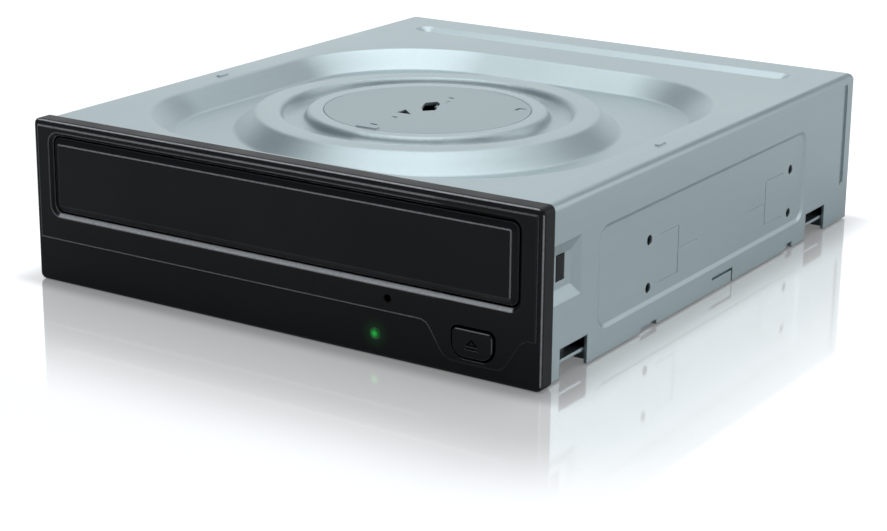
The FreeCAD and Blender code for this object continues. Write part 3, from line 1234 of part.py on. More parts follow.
keep(cut("cam", cam_bar, slant, cam_start, cam_end), "cam_slider")

# Loader frame: deck, side walls with tray rails, spacing ribs, bosses, posts and hinge sockets
frame_y = (plus(SEAM, "frame_front_gap"), minus(REAR_IN, "frame_rear_gap"))
deck_z = (DECK_LEVEL, DECK_TOP)
frame_side = plus(FRAME_WALL, "frame_wall_thick")
bay_half = plus("traverse_half_width", "traverse_gap")
lip_low = plus(RIM_TOP, "rail_gap")
lip_top = plus(lip_low, "rail_thick")
ledge_top = minus(TRAY_LEVEL, "rail_gap")
rail_inner = minus(TRAY_HALF, "rail_reach")
solid = [
    block("front_deck", around("0", frame_side), (frame_y[0], DECK_REAR), deck_z),
    block("rear_deck", around("0", frame_side), (plus(HINGE_Y, "traverse_rear", "traverse_gap"),
                                                 frame_y[1]), deck_z),
    block("cam_wall", around("0", bay_half), (minus(DECK_REAR, "frame_wall_thick"), DECK_REAR),
          (CAM_LOW, CAM_TOP)),
]
spare = []
for side, span in both_sides((bay_half, frame_side)):
    solid.append(block(f"side_deck_{side}", span, frame_y, deck_z))
for side, span in both_sides((FRAME_WALL, frame_side)):
    solid.append(block(f"side_wall_{side}", span, frame_y, (DECK_LEVEL, lip_top)))
for side, span in both_sides((rail_inner, frame_side)):
    solid.append(block(f"upper_rail_{side}", span, frame_y, (lip_low, lip_top)))
    solid.append(block(f"lower_rail_{side}", span, frame_y, (minus(ledge_top, "rail_thick"), ledge_top)))
RIB_SETBACKS = (31.0, 72.0, 98.0, "chassis_depth - 13.0")
for side, span in both_sides((FRAME_WALL, minus(WALL_IN, "rib_clearance"))):
    for index, setback in enumerate(RIB_SETBACKS):
        rib_here = (plus(SEAM, setback), plus(SEAM, setback, "frame_wall_thick"))
        solid.append(block(f"spacing_rib_{side}_{index}", span, rib_here, (DECK_LEVEL, lip_top)))
tapped = plus("screw_shank", "screw_gap")
for side, along, x, y in corner_screws:
    solid.append(rod(f"boss_{side}_{along}", "z", (x, y), (POCKET_TOP, DECK_TOP), "boss_radius"))
    spare.append(rod(f"boss_hole_{side}_{along}", "z", (x, y), (POCKET_TOP,
                                                                plus(POCKET_TOP, "screw_bite", "sheet")),
                     tapped))
board_screw_x = minus(BOARD_HALF, "board_screw_inset")
board_screw_y = (plus(BOARD_FRONT, "board_screw_inset"), minus(BOARD_REAR, "board_screw_rear"))
board_screws = [(side, along, x, y) for side, x in (("right", board_screw_x),
                                                    ("left", minus(0, board_screw_x)))
                for along, y in zip(("front", "rear"), board_screw_y)]
for side, along, x, y in board_screws:
    solid.append(rod(f"board_post_{side}_{along}", "z", (x, y), (BOARD_TOP, DECK_TOP), "boss_radius"))
    spare.append(rod(f"board_post_hole_{side}_{along}", "z", (x, y),
                     (BOARD_TOP, plus(BOARD_TOP, "screw_bite")), tapped))
holder_y = (front_board_y[1], plus(front_board_y[1], "frame_wall_thick"))
for side, edge in (("left", front_board_x[0]), ("right", minus(front_board_x[1], "boss_radius"))):
    holder_x = (edge, plus(edge, "boss_radius"))
    solid.append(block(f"front_board_holder_{side}", holder_x, holder_y, (BUTTON_Z, DECK_TOP)))
BUSH_BORE = plus("hinge_pin", "bush_gap")
BUSH_OUTER = plus(BUSH_BORE, "bush_wall")
SOCKET = plus(BUSH_OUTER, "bush_gap")
socket_half = plus(SOCKET, "frame_wall_thick")
socket_x = (bay_half, plus(bay_half, "hinge_reach"))
for side, span in both_sides(socket_x):
    solid.append(block(f"socket_{side}", span, around(HINGE_Y, socket_half), around(HINGE_Z, socket_half)))
    bore = (minus(span[0], OVER), plus(span[1], OVER))
    spare.append(rod(f"socket_bore_{side}", "x", (HINGE_Y, HINGE_Z), bore, SOCKET))
post_top = minus(PINION_TOP, "wheel_gap")
solid.append(rod("tray_gear_post", "z", (GEAR_X, GEAR_Y), (DECK_TOP, post_top), "gear_post"))
solid.append(rod("pulley_post", "z", (PULLEY_X, GEAR_Y), (DECK_TOP, WHEEL_TOP), "gear_post"))
through_deck = (minus(DECK_LEVEL, OVER), plus(DECK_TOP, OVER))
spare.append(rod("motor_neck_hole", "z", ("motor_across", GEAR_Y), through_deck, "motor_pulley_radius"))
motor_screws = [plus(GEAR_Y, "motor_screw_span / 2"), minus(GEAR_Y, "motor_screw_span / 2")]
for index, y in enumerate(motor_screws):
    spare.append(rod(f"motor_screw_hole_{index}", "z", ("motor_across", y), through_deck, tapped))
port_room = (minus(REAR, "connector_depth", "port_margin"), plus(REAR, OVER))
spare.append(block("connector_room", around("connector_across",
                                            "connector_width / 2 + port_margin"), port_room,
                   (FLOOR, plus(BOARD_TOP, "connector_height", "port_margin"))))
spare.append(block("switch_room", around(BUTTON_X, "switch_side / 2 + light_gap"), (SEAM, FRONT_BOARD_Y),
                   (FLOOR, plus(BUTTON_Z, "switch_side / 2 + light_gap"))))
keep(cut("frame", join("frame_mass", *solid), *spare), "main_frame")

bushes = []
for side, span in both_sides(socket_x):
    ring = rod(f"bush_outer_{side}", "x", (HINGE_Y, HINGE_Z), span, BUSH_OUTER)
    bore = rod(f"bush_bore_{side}", "x", (HINGE_Y, HINGE_Z), (minus(span[0], OVER), plus(span[1], OVER)),
               BUSH_BORE)
    bushes.append(cut(f"bush_{side}", ring, bore))
keep(group("hinge_bushes", *bushes), "damper_bushes")

# Loading drive


def gear(name, centre, turn, module, teeth, z):
    """A spur gear; turn is the angle in degrees of its first tooth from +Y."""
    owner = new_body(name)
    owner.Placement = FreeCAD.Placement(FreeCAD.Vector(),
                                        FreeCAD.Rotation(FreeCAD.Vector(0, 0, 1), value(turn)))
    bind(owner, "Placement.Rotation.Angle", f"({turn}) * 1 deg")
    for letter, formula in zip("xy", centre):
        bind(owner, "Placement.Base." + letter, formula)
    low, high = z
    pitch_radius = f"({module} * {teeth} / 2)"
    root_radius = minus(pitch_radius, f"{module} * {ROOT_DEPTH}")
    tip_radius = plus(pitch_radius, module)
    half_width = f"({math.pi / 4} * {module} - mesh_slack / 2)"
    half_foot = plus(half_width, f"{module} * 0.3")
    half_crest = minus(half_width, f"{module} * {PRESSURE * 1.15}")
    disc = new_sketch(owner, name + "_disc", "xy", low)
    circle(disc, ("0", "0"), root_radius)
    pad(owner, name + "_blank", disc, minus(high, low))
    one = new_sketch(owner, name + "_tooth", "xy", low)
    inside = minus(root_radius, f"{module} / 2")
    polygon(one, [
        (minus(0, half_foot), inside),
        (half_foot, inside),
        (half_foot, root_radius),
        (half_width, pitch_radius),
        (half_crest, tip_radius),
        (minus(0, half_crest), tip_radius),
        (minus(0, half_width), pitch_radius),
        (minus(0, half_foot), root_radius),
    ])
    single = pad(owner, name + "_tooth_pad", one, minus(high, low))
    ring = owner.newObject("PartDesign::PolarPattern", name + "_teeth")
    ring.Originals = [single]
    ring.Axis = (one, ["N_Axis"])
    ring.Angle = 360
    bind(ring, "Occurrences", teeth)
    owner.Tip = ring
    return owner


def grooved_wheel(name, centre, radius, z):
    """A pulley with a square belt groove."""
    low, high = z
    middle = f"(({low} + {high}) / 2)"
    groove_low, groove_high = around(middle, "belt_size / 2 + belt_gap")
    sunk_radius = minus(radius, "groove_sink")
    return turned(name, centre, [
        ("0", low),
        (radius, low),
        (radius, groove_low),
        (sunk_radius, groove_low),
        (sunk_radius, groove_high),
        (radius, groove_high),
        (radius, high),
        ("0", high),
    ])


pulley_z = (PULLEY_LOW, PULLEY_TOP)
gear_centre = (GEAR_X, GEAR_Y)
pulley_centre = (PULLEY_X, GEAR_Y)
motor_centre = ("motor_across", GEAR_Y)
post_bore = plus("gear_post", "gear_play")
wheel = gear("reduction_wheel", gear_centre, "-90", "train_module", "wheel_teeth", (WHEEL_LOW, WHEEL_TOP))
pinion = gear("rack_pinion", gear_centre, "90", "rack_module", "pinion_teeth", (WHEEL_TOP, PINION_TOP))
gear_sleeve = rod("gear_sleeve", "z", gear_centre, (PULLEY_LOW, WHEEL_LOW), "gear_hub")
gear_bore = rod("gear_bore", "z", gear_centre, (DECK_TOP, TRAY_LEVEL), post_bore)
keep(cut("loading_gear", join("loading_gear_mass", wheel, pinion, gear_sleeve), gear_bore), "tray_gear")
small_pinion = gear("pulley_pinion", pulley_centre, "90 + 180 / pulley_teeth", "train_module", "pulley_teeth",
                    (PULLEY_TOP, WHEEL_TOP))
pulley = grooved_wheel("belt_pulley", pulley_centre, "pulley_radius", pulley_z)
pulley_bore = rod("pulley_bore", "z", pulley_centre, (DECK_TOP, TRAY_LEVEL), post_bore)
keep(cut("loading_pulley", join("loading_pulley_mass", pulley, small_pinion), pulley_bore), "pulley_gear")

motor_low = plus(FLOOR, "motor_gap")
shaft_sink = f"(({DECK_LEVEL} + {motor_low}) / 2)"
motor_can = rod("motor_can", "z", motor_centre, (motor_low, DECK_LEVEL), "motor_radius")
motor_bearing = rod("motor_bearing", "z", motor_centre, (shaft_sink, plus(DECK_LEVEL, OVER)),
                    plus("motor_shaft", "gear_play"))
motor_taps = [rod(f"motor_tap_{index}", "z", ("motor_across", y), (minus(DECK_LEVEL, "screw_bite"),
                                                                   DECK_LEVEL), tapped)
              for index, y in enumerate(motor_screws)]
keep(cut("loading_motor", motor_can, motor_bearing, *motor_taps), "loader_motor")
keep(group("loading_motor_screws", *[
    small_screw(f"motor_screw_{index}", "motor_across", y, DECK_TOP,
                up=False) for index, y in enumerate(motor_screws)
]), "motor_screws")
shaft = rod("motor_shaft_rod", "z", motor_centre, (plus(shaft_sink, "gear_play"), PULLEY_LOW), "motor_shaft")
keep(join("motor_wheel", grooved_wheel("motor_belt_wheel", motor_centre, "motor_pulley_radius", pulley_z),
          shaft),
     "motor_pulley")


def belt_loop(name, swell, z):
    """A band tangent to both pulleys; swell is its distance outside the two grooves."""
    owner = new_body(name)
    low, high = z
    outline = new_sketch(owner, name + "_outline", "xy", low)
    large_radius = minus("pulley_radius", "groove_sink", minus(0, swell))
    small_radius = minus("motor_pulley_radius", "groove_sink", minus(0, swell))
    normal = FreeCAD.Vector(0, 0, 1)
    ends = [FreeCAD.Vector(value(x), value(y), 0) for x, y in (pulley_centre, motor_centre)]
    radii = [value(large_radius), value(small_radius)]
    apart = ends[1] - ends[0]
    lean = math.atan2(apart.y, apart.x)
    spread = math.acos((radii[0] - radii[1]) / apart.Length)
    arcs = [
        Part.ArcOfCircle(Part.Circle(ends[0], normal, radii[0]), lean + spread, lean - spread + 2 * math.pi),
        Part.ArcOfCircle(Part.Circle(ends[1], normal, radii[1]), lean - spread, lean + spread),
    ]
    for arc in arcs:
        outline.addGeometry(arc)
    outline.addGeometry(Part.LineSegment(arcs[0].EndPoint, arcs[1].StartPoint))
    outline.addGeometry(Part.LineSegment(arcs[1].EndPoint, arcs[0].StartPoint))
    for first, first_end, second, second_end in ((0, 2, 2, 1), (2, 2, 1, 1), (1, 2, 3, 1), (3, 2, 0, 1)):
        outline.addConstraint(Sketcher.Constraint("Tangent", first, first_end, second, second_end))
    for edge, centre, radius in ((0, pulley_centre, large_radius), (1, motor_centre, small_radius)):
        fix_point(outline, edge, 3, *centre)
        index = outline.addConstraint(Sketcher.Constraint("Radius", edge, value(radius)))
        bind(outline, f"Constraints[{index}]", radius)
    pad(owner, name + "_pad", outline, minus(high, low))
    return owner


belt_z = around(f"(({PULLEY_LOW} + {PULLEY_TOP}) / 2)", "belt_size / 2")
belt_outside = belt_loop("belt_outside", plus("belt_gap", "belt_size"), belt_z)
belt_inside = belt_loop("belt_inside", "belt_gap", (minus(belt_z[0], OVER), plus(belt_z[1], OVER)))
keep(cut("belt", belt_outside, belt_inside), "drive_belt")

# Traverse: tilting plate with folded edges, pickup bay, rod blocks, motor bracket, hinge pins and lug
traverse_y = (TRAVERSE_FRONT, plus(HINGE_Y, "traverse_rear"))
plate_z = (TRAVERSE_LEVEL, TRAVERSE_TOP)
beam_inner = minus("traverse_half_width", "traverse_beam")
hold_front = (minus(BAY_FRONT, "rod_hold"), BAY_FRONT)
hold_rear = (BAY_REAR, plus(BAY_REAR, "rod_hold"))
solid = [
    block("traverse_plate", around("0", "traverse_half_width"), traverse_y, plate_z),
    rod("traverse_lug", "y", ("0", HINGE_Z), (CAM_FRONT, plus(TRAVERSE_FRONT, "lug_radius")), "lug_radius"),
    block("screw_block", around("screw_offset", "rod_block"), hold_rear, around(SCREW_Z, "rod_block")),
    block("sled_bracket", around("screw_offset", "sled_motor_radius"), hold_front,
          around(SCREW_Z, "sled_motor_radius")),
]
sled_motor_y = (minus(hold_front[0], "sled_motor_length"), hold_front[0])
plate_through = (minus(plate_z[0], OVER), plus(plate_z[1], OVER))
bores = [
    block("sled_motor_gap", around("screw_offset", "sled_motor_radius + rail_gap"),
          (minus(sled_motor_y[0], "rail_gap"), sled_motor_y[1]), plate_through),
    rod("screw_bore", "y", ("screw_offset", SCREW_Z), (hold_front[0], hold_rear[1]),
        "lead_screw_radius + rod_play"),
]
pickup_bay = block("pickup_bay", around("0", beam_inner), (BAY_FRONT, BAY_REAR), plate_through)
for side, span in both_sides((minus("traverse_half_width", "sheet"), "traverse_half_width")):
    solid.append(block(f"traverse_fold_{side}", span, traverse_y, (plate_z[0],
                                                                   plus(TRAVERSE_TOP, "traverse_fold"))))
for side, span in both_sides((beam_inner, plus(bay_half, "hinge_reach"))):
    solid.append(rod(f"hinge_pin_{side}", "x", (HINGE_Y, HINGE_Z), span, "hinge_pin"))
for side, x in (("right", "rod_offset"), ("left", "-rod_offset")):
    for along, hold in (("front", hold_front), ("rear", hold_rear)):
        solid.append(block(f"rod_block_{side}_{along}", around(x, "rod_block"), hold,
                           around(HINGE_Z, "rod_block")))
    bores.append(rod(f"rod_bore_{side}", "y", (x, HINGE_Z), (hold_front[0], hold_rear[1]),
                     "rod_radius + seat_gap"))
keep(cut("traverse", join("traverse_mass", *solid), pickup_bay, *bores), "traverse_frame")
rod_span = (hold_front[0], hold_rear[1])
keep(group("rods", rod("guide_rod_right", "y", ("rod_offset", HINGE_Z), rod_span, "rod_radius"),
           rod("guide_rod_left", "y", ("-rod_offset", HINGE_Z), rod_span, "rod_radius")), "guide_rods")
keep(rod("sled_stepper", "y", ("screw_offset", SCREW_Z), sled_motor_y, "sled_motor_radius"), "sled_motor")
keep(rod("sled_screw", "y", ("screw_offset", SCREW_Z), (plus(rod_span[0], "rod_play"), rod_span[1]),
         "lead_screw_radius"), "lead_screw")

# Spindle: stator on the traverse, rotor with turntable, friction ring and hub magnet
disc_axis = ("0", SPINDLE)
base_top = plus(TRAVERSE_TOP, "stator_base_thick")
stator_top = plus(TRAVERSE_TOP, "stator_height")
shaft_bore = plus("spindle_shaft", "spindle_play")
keep(turned("stator", disc_axis, [
    ("0", TRAVERSE_TOP),
    ("stator_base", TRAVERSE_TOP),
    ("stator_base", base_top),
    ("stator_radius", base_top),
    ("stator_radius", stator_top),
    (shaft_bore, stator_top),
    (shaft_bore, base_top),
    ("0", base_top),
]), "spindle_motor")
shaft_low = plus(base_top, "spindle_play")
rotor_low = plus(stator_top, "rotor_gap")
pad_low = minus(DISC_SEAT, "pad_thick")
table_low = minus(pad_low, "table_thick")
spigot_top = plus(DISC_SEAT, "spigot_height")
cone_top = plus(spigot_top, "spigot_cone")
magnet_low = minus(cone_top, "magnet_thick")
magnet_seat = plus("magnet_outer", "seat_gap")
keep(turned("rotor", disc_axis, [
    ("0", shaft_low),
    ("spindle_shaft", shaft_low),
    ("spindle_shaft", rotor_low),
    ("rotor_radius", rotor_low),
    ("rotor_radius", table_low),
    ("table_radius", table_low),
    ("table_radius", pad_low),
    ("spigot_radius", pad_low),
    ("spigot_radius", spigot_top),
    ("spigot_tip", cone_top),
    (magnet_seat, cone_top),
    (magnet_seat, magnet_low),
    ("0", magnet_low),
]), "turntable")


def washer(name, inner, outer, z):
    low, high = z
    return turned(name, disc_axis, [(inner, low), (outer, low), (outer, high), (inner, high)])


pad_outer = minus("table_radius", "pad_margin")
keep(washer("friction_ring", minus(pad_outer, "pad_width"), pad_outer, (pad_low, DISC_SEAT)), "turntable_pad")
keep(washer("ring_magnet", "magnet_inner", "magnet_outer", (magnet_low, cone_top)), "hub_magnet")

# Clamper: puck that hangs by its flange in the cover's cup, with a steel yoke
clamper_low = plus(DISC_SEAT, "disc_space")
mouth_top = plus(clamper_low, "clamper_mouth_depth")
flange_low = plus(RECESS_FLOOR, "clamper_hang")
flange_top = plus(flange_low, "clamper_flange_thick")
yoke_low = minus(flange_top, "yoke_thick")
puck = minus("clamp_hole", "clamp_play")
yoke_seat = plus("yoke_radius", "seat_gap")
keep(turned("puck", disc_axis, [
    ("0", mouth_top),
    ("clamper_mouth", mouth_top),
    ("clamper_mouth", clamper_low),
    (puck, clamper_low),
    (puck, flange_low),
    ("clamper_flange", flange_low),
    ("clamper_flange", flange_top),
    (yoke_seat, flange_top),
    (yoke_seat, yoke_low),
    ("0", yoke_low),
]), "clamper")
keep(rod("yoke", "z", disc_axis, (yoke_low, flange_top), "yoke_radius"), "clamper_yoke")

# Pickup: sled body on the rods, lens actuator, lens and nut
pickup_y = (PICKUP_FRONT, plus(PICKUP_FRONT, "pickup_length"))
bearing_y = (plus(PICKUP_FRONT, "rod_hold"), minus(pickup_y[1], "rod_hold"))
bearing_edge = plus("rod_offset", "rod_block")
sled = [block("sled_mass", around("0", "pickup_half_width"), pickup_y, (PICKUP_LOW, PICKUP_TOP))]
runs = []
for side, span in both_sides(("pickup_half_width", bearing_edge)):
    sled.append(block(f"rod_bearing_{side}", span, bearing_y, around(HINGE_Z, "rod_block")))
for side, x in (("right", "rod_offset"), ("left", "-rod_offset")):
    runs.append(rod(f"rod_run_{side}", "y", (x, HINGE_Z), pickup_y, "rod_radius + rod_play"))
keep(cut("sled", join("sled_joined", *sled), *runs), "pickup_body")
actuator_z = (PICKUP_TOP, plus(PICKUP_TOP, "actuator_height"))
keep(block("actuator", around("0", "actuator_half_width"), around(LENS_Y, "actuator_length / 2"),
           actuator_z), "lens_actuator")
keep(rod("lens", "z", ("0", LENS_Y), (actuator_z[1], plus(actuator_z[1], "lens_height")), "lens_radius"),
     "objective_lens")
nut_half = plus("lead_screw_radius", "nut_wall")
nut_y = around(f"(({bearing_y[0]} + {bearing_y[1]}) / 2)", "nut_length / 2")
nut_block = block("nut_block", (bearing_edge, plus("screw_offset", nut_half)), nut_y,
                  around(SCREW_Z, nut_half))
nut_bore = rod("nut_bore", "y", ("screw_offset", SCREW_Z), pickup_y, "lead_screw_radius + rod_play")
keep(cut("nut", nut_block, nut_bore), "pickup_nut")

# Main board with its chips, capacitors, ribbon sockets and screws
board_z = (BOARD_LOW, BOARD_TOP)
board = block("board_plate", around("0", BOARD_HALF), (BOARD_FRONT, BOARD_REAR), board_z)
board_holes = [rod(f"board_hole_{side}_{along}", "z", (x, y), (minus(BOARD_LOW, OVER),
                                                               plus(BOARD_TOP, OVER)), tapped)
               for side, along, x, y in board_screws]
keep(cut("logic_board", board, *board_holes), "main_board")
screws = []
for side, along, x, y in board_screws:
    head = rod(f"board_head_{side}_{along}", "z", (x, y), (minus(BOARD_LOW, "screw_head_height"),
                                                           BOARD_LOW), "screw_head")
    shank_z = (BOARD_LOW, plus(BOARD_TOP, "screw_bite - seat_gap"))
    shank = rod(f"board_shank_{side}_{along}", "z", (x, y), shank_z, "screw_shank")
    screws.append(join(f"board_screw_{side}_{along}", head, shank))
keep(group("logic_board_screws", *screws), "board_screws")
chip_z = (BOARD_TOP, plus(BOARD_TOP, "chip_thick"))
CHIPS = ((-14.0, 22.0, 1.0), (12.0, 26.0, 0.7), (-34.0, 30.0, 0.5), (-40.0, 12.0, 0.6))
chips = []
for index, (across, behind, share) in enumerate(CHIPS):
    half = f"chip_side * {share / 2}"
    chips.append(block(f"chip_{index}", around(across, half), around(plus(BOARD_FRONT, behind), half),
                       chip_z))
keep(group("chips", *chips), "board_chips")
CAPACITORS = ((46.0, 14.0), (46.0, 21.0), (-47.0, 24.0))
can_z = (BOARD_TOP, minus(DECK_LEVEL, "capacitor_gap"))
cans = [rod(f"capacitor_{index}", "z", (across, plus(BOARD_FRONT, behind)), can_z, "capacitor_radius")
        for index, (across, behind) in enumerate(CAPACITORS)]
keep(group("capacitors", *cans), "board_capacitors")
SOCKETS = ((-30.0, 20.0), (0.0, 24.0), (30.0, 14.0))
socket_y = (plus(BOARD_FRONT, "cable_thick * 4"), plus(BOARD_FRONT, "cable_width / 3"))
sockets = [block(f"ribbon_socket_{index}", around(across, length / 2), socket_y, chip_z)
           for index, (across, length) in enumerate(SOCKETS)]
keep(group("sockets", *sockets), "ribbon_sockets")

# Rear connector: one shell with the power and data mouths, each round its own tongue
shell_x = around("connector_across", "connector_width / 2")
shell_y = (minus(REAR, "connector_depth"), REAR)
shell_z = (BOARD_TOP, plus(BOARD_TOP, "connector_height"))
mouth_y = (plus(shell_y[0], "connector_wall"), plus(REAR, OVER))
mouth_z = (plus(shell_z[0], "connector_wall"), minus(shell_z[1], "connector_wall"))
power_x = (plus(shell_x[0], "connector_wall"), plus(shell_x[0], "connector_wall * 3", "power_tongue"))
data_x = (minus(shell_x[1], "connector_wall * 3", "data_tongue"), minus(shell_x[1], "connector_wall"))
tongue_middle = f"(({mouth_z[0]} + {mouth_z[1]}) / 2)"
mouths = []
tongues = []
for name, span in (("power", power_x), ("data", data_x)):
    mouths.append(block(f"{name}_mouth", span, mouth_y, mouth_z))
    blade_x = (plus(span[0], "connector_wall"), minus(span[1], "connector_wall"))
    blade_y = (mouth_y[0], plus(mouth_y[0], "tongue_reach"))
    blade = block(f"{name}_blade", blade_x, blade_y, around(tongue_middle, "tongue_thick / 2"))
    key_x = (blade_x[0], plus(blade_x[0], "tongue_thick"))
    key = block(f"{name}_key", key_x, blade_y, (minus(tongue_middle, "tongue_thick"), tongue_middle))
    tongues.append(join(f"{name}_tongue_body", blade, key))
port = block("connector_shell", shell_x, shell_y, shell_z)
keep(cut("rear_connector", port, *mouths), "sata_connector")
keep(group("tongues", *tongues), "connector_tongues")

# Flat cable along the floor from the main board to the front board
cable_x = around("cable_across", "cable_width / 2")
cable_z = (plus(FLOOR, "cable_lift"), plus(FLOOR, "cable_lift", "cable_thick"))
cable_rear = plus(BOARD_FRONT, "cable_width / 2")
run = block("cable_run", cable_x, (front_board_y[1], cable_rear), cable_z)
riser = block("cable_riser", cable_x, (minus(cable_rear, "cable_thick"), cable_rear), (cable_z[0], BOARD_LOW))
tail = block("cable_tail", cable_x, (front_board_y[1], plus(front_board_y[1], "cable_thick")),
             (cable_z[0], BUTTON_Z))
keep(join("ribbon", run, riser, tail), "front_cable")

# Every object has to be sound before anything is written
doc.recompute()
failed = [item.Name for item in doc.Objects if "Invalid" in item.State or "Error" in item.State]
if failed:
    raise RuntimeError("these objects failed: " + ", ".join(failed))
for item in parts:
    if item.Shape.isNull() or not item.Shape.isValid() or not item.Shape.Solids:
        raise RuntimeError("not a sound solid: " + item.Label)

os.makedirs("parts", exist_ok=True)
for item in parts:
    item.Shape.exportStep(f"parts/{item.Label}.step")
    print(f"{item.Label}: {len(item.Shape.Solids)} solids, {item.Shape.Volume:.1f} mm3")
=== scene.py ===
"""Dressing of a half-height internal DVD writer: finishes, small pieces, light and camera."""
import functools
import json
import math

import bpy
import numpy as np
from bpy.props import FloatProperty, FloatVectorProperty, IntProperty, PointerProperty
from bpy.types import Operator, Panel, PropertyGroup
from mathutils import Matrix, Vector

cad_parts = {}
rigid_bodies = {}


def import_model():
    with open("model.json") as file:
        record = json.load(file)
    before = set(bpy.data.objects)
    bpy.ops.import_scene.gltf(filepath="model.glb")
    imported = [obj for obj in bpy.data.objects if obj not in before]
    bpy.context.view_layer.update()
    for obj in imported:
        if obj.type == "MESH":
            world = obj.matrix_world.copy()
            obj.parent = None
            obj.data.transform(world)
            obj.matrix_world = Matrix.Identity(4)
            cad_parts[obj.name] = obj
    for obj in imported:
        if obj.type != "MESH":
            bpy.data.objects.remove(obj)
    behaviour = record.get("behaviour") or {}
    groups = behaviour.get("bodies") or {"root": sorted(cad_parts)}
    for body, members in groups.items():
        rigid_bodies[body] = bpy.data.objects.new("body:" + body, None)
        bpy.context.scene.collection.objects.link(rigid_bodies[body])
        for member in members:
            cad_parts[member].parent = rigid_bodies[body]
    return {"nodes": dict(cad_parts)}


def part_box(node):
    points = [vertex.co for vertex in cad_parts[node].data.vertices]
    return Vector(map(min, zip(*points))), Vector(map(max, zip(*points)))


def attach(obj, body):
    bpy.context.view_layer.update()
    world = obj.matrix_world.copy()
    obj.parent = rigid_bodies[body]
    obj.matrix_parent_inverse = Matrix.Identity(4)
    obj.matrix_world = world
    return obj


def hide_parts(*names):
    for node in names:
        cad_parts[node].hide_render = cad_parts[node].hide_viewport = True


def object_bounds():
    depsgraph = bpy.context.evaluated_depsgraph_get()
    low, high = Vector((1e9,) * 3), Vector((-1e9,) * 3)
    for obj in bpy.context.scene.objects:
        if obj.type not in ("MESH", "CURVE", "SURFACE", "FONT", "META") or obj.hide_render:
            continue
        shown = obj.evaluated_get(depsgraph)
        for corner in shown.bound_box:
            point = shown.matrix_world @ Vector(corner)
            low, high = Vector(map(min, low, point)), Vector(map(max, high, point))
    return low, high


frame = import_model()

bl_info = {
    "name": "DVD Writer Dressing",
    "version": (1, 0, 0),
    "blender": (4, 5, 0),
    "location": "View3D > Sidebar > Drive",
    "description": "Finishes and small pieces for an internal DVD writer",
    "category": "Object",
}

CAD_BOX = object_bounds()
NODES = frame["nodes"]
MM = 0.001
BLACK = (0.0, 0.0, 0.0)
WHITE = (1.0, 1.0, 1.0)


# Settings

def tint(name, description, default):
    """A colour that a user may change."""
    return FloatVectorProperty(name=name, description=description, subtype="COLOR", size=3,
                               min=0.0, max=1.0, default=default)


def share(name, description, default):
    """A number from 0 to 1."""
    return FloatProperty(name=name, description=description, subtype="FACTOR", min=0.0, max=1.0,
                         default=default)


def size(name, description, default):
    """A length in metres."""
    return FloatProperty(name=name, description=description, unit="LENGTH", min=0.0, precision=5,
                         default=default)


def amount(name, description, default):
    """A number that is never negative."""
    return FloatProperty(name=name, description=description, min=0.0, default=default)


class CasingSettings(PropertyGroup):
    """Plated sheet of the casing."""
    steel: tint("Steel", "Colour of the plated sheet", (0.455, 0.535, 0.555))
    steel_shade: tint("Steel shade", "Darker tone of the rolled sheet", (0.435, 0.512, 0.532))
    roughness: share("Roughness", "Roughness of the plated sheet", 0.44)
    edge_radius: size("Edge radius", "Rounding of the sheet's edges in the light", 0.4 * MM)
    press_radius: size("Press radius", "Rounding of the hub's folds in the light", 1.5 * MM)
    press_reach: size("Press reach", "Distance from the hub to the last of those folds", 48.0 * MM)


class FrontSettings(PropertyGroup):
    """Black plastic front and its light."""
    plastic: tint("Plastic", "Colour of the front's plastic", (0.0055, 0.0055, 0.006))
    # Edge colour of the front: mostly a painted highlight on the moulded edges, partly wear.
    plastic_rub: tint("Rubbed plastic", "Colour of the plastic's edges", (0.60, 0.60, 0.61))
    # Painted glint on edges that look towards the light.
    glint: tint("Glint", "Colour of edges that look towards the light", (0.52, 0.52, 0.53))
    flank: size("Flank", "Place along X beyond which upright edges glint", 72.4 * MM)
    # Along X the painted edge highlight and wear fade towards the bezel's right.
    rub_start: size("Rub start", "Place along X where the rubbing starts to weaken", 43.5 * MM)
    rub_end: size("Rub end", "Place along X where the rubbing is weakest", 50.0 * MM)
    rub_rest: share("Rub rest", "How much of the rubbing is left there", 0.10)
    hole_inset: size("Hole inset", "From the bezel's right side to the emergency hole", 40.4 * MM)
    hole_drop: size("Hole drop", "From the bezel's top to the emergency hole", 27.3 * MM)
    hole_reach: size("Hole reach", "Distance from the hole within which edges are plain", 1.8 * MM)
    roughness: share("Roughness", "Roughness of the textured plastic", 0.42)
    edge_radius: size("Edge radius", "Rounding of the moulded edges in the light", 0.5 * MM)
    mark_reach: size("Mark reach", "Distance from the button's middle to its mark's end", 2.4 * MM)
    # Below this depth the button's engraved mark gets painted shade.
    mark_level: size("Mark level", "Depth at which the button's mark is dull", 0.06 * MM)
    shine: share("Shine", "Specular level of the front's plastic", 0.22)
    lit: tint("Light", "Colour of the activity light", (0.004, 0.30, 0.03))
    glow: amount("Glow", "Strength of the activity light", 0.9)
    halo: tint("Halo", "Colour of the light on the plastic round it", (0.0015, 0.032, 0.005))
    halo_radius: size("Halo radius", "Reach of the activity light over the plastic", 4.6 * MM)


class FastenerSettings(PropertyGroup):
    """Small screws."""
    steel: tint("Screw steel", "Colour of the screws", (0.55, 0.55, 0.56))
    thread_pitch: size("Thread pitch", "Distance between two turns of the thread", 0.5 * MM)
    thread_depth: size("Thread depth", "Depth of the thread", 0.22 * MM)
    recess_depth: size("Recess depth", "Depth of the cross recess", 0.6 * MM)
    sides: IntProperty(name="Sides", description="Points round a screw", min=16, default=48)


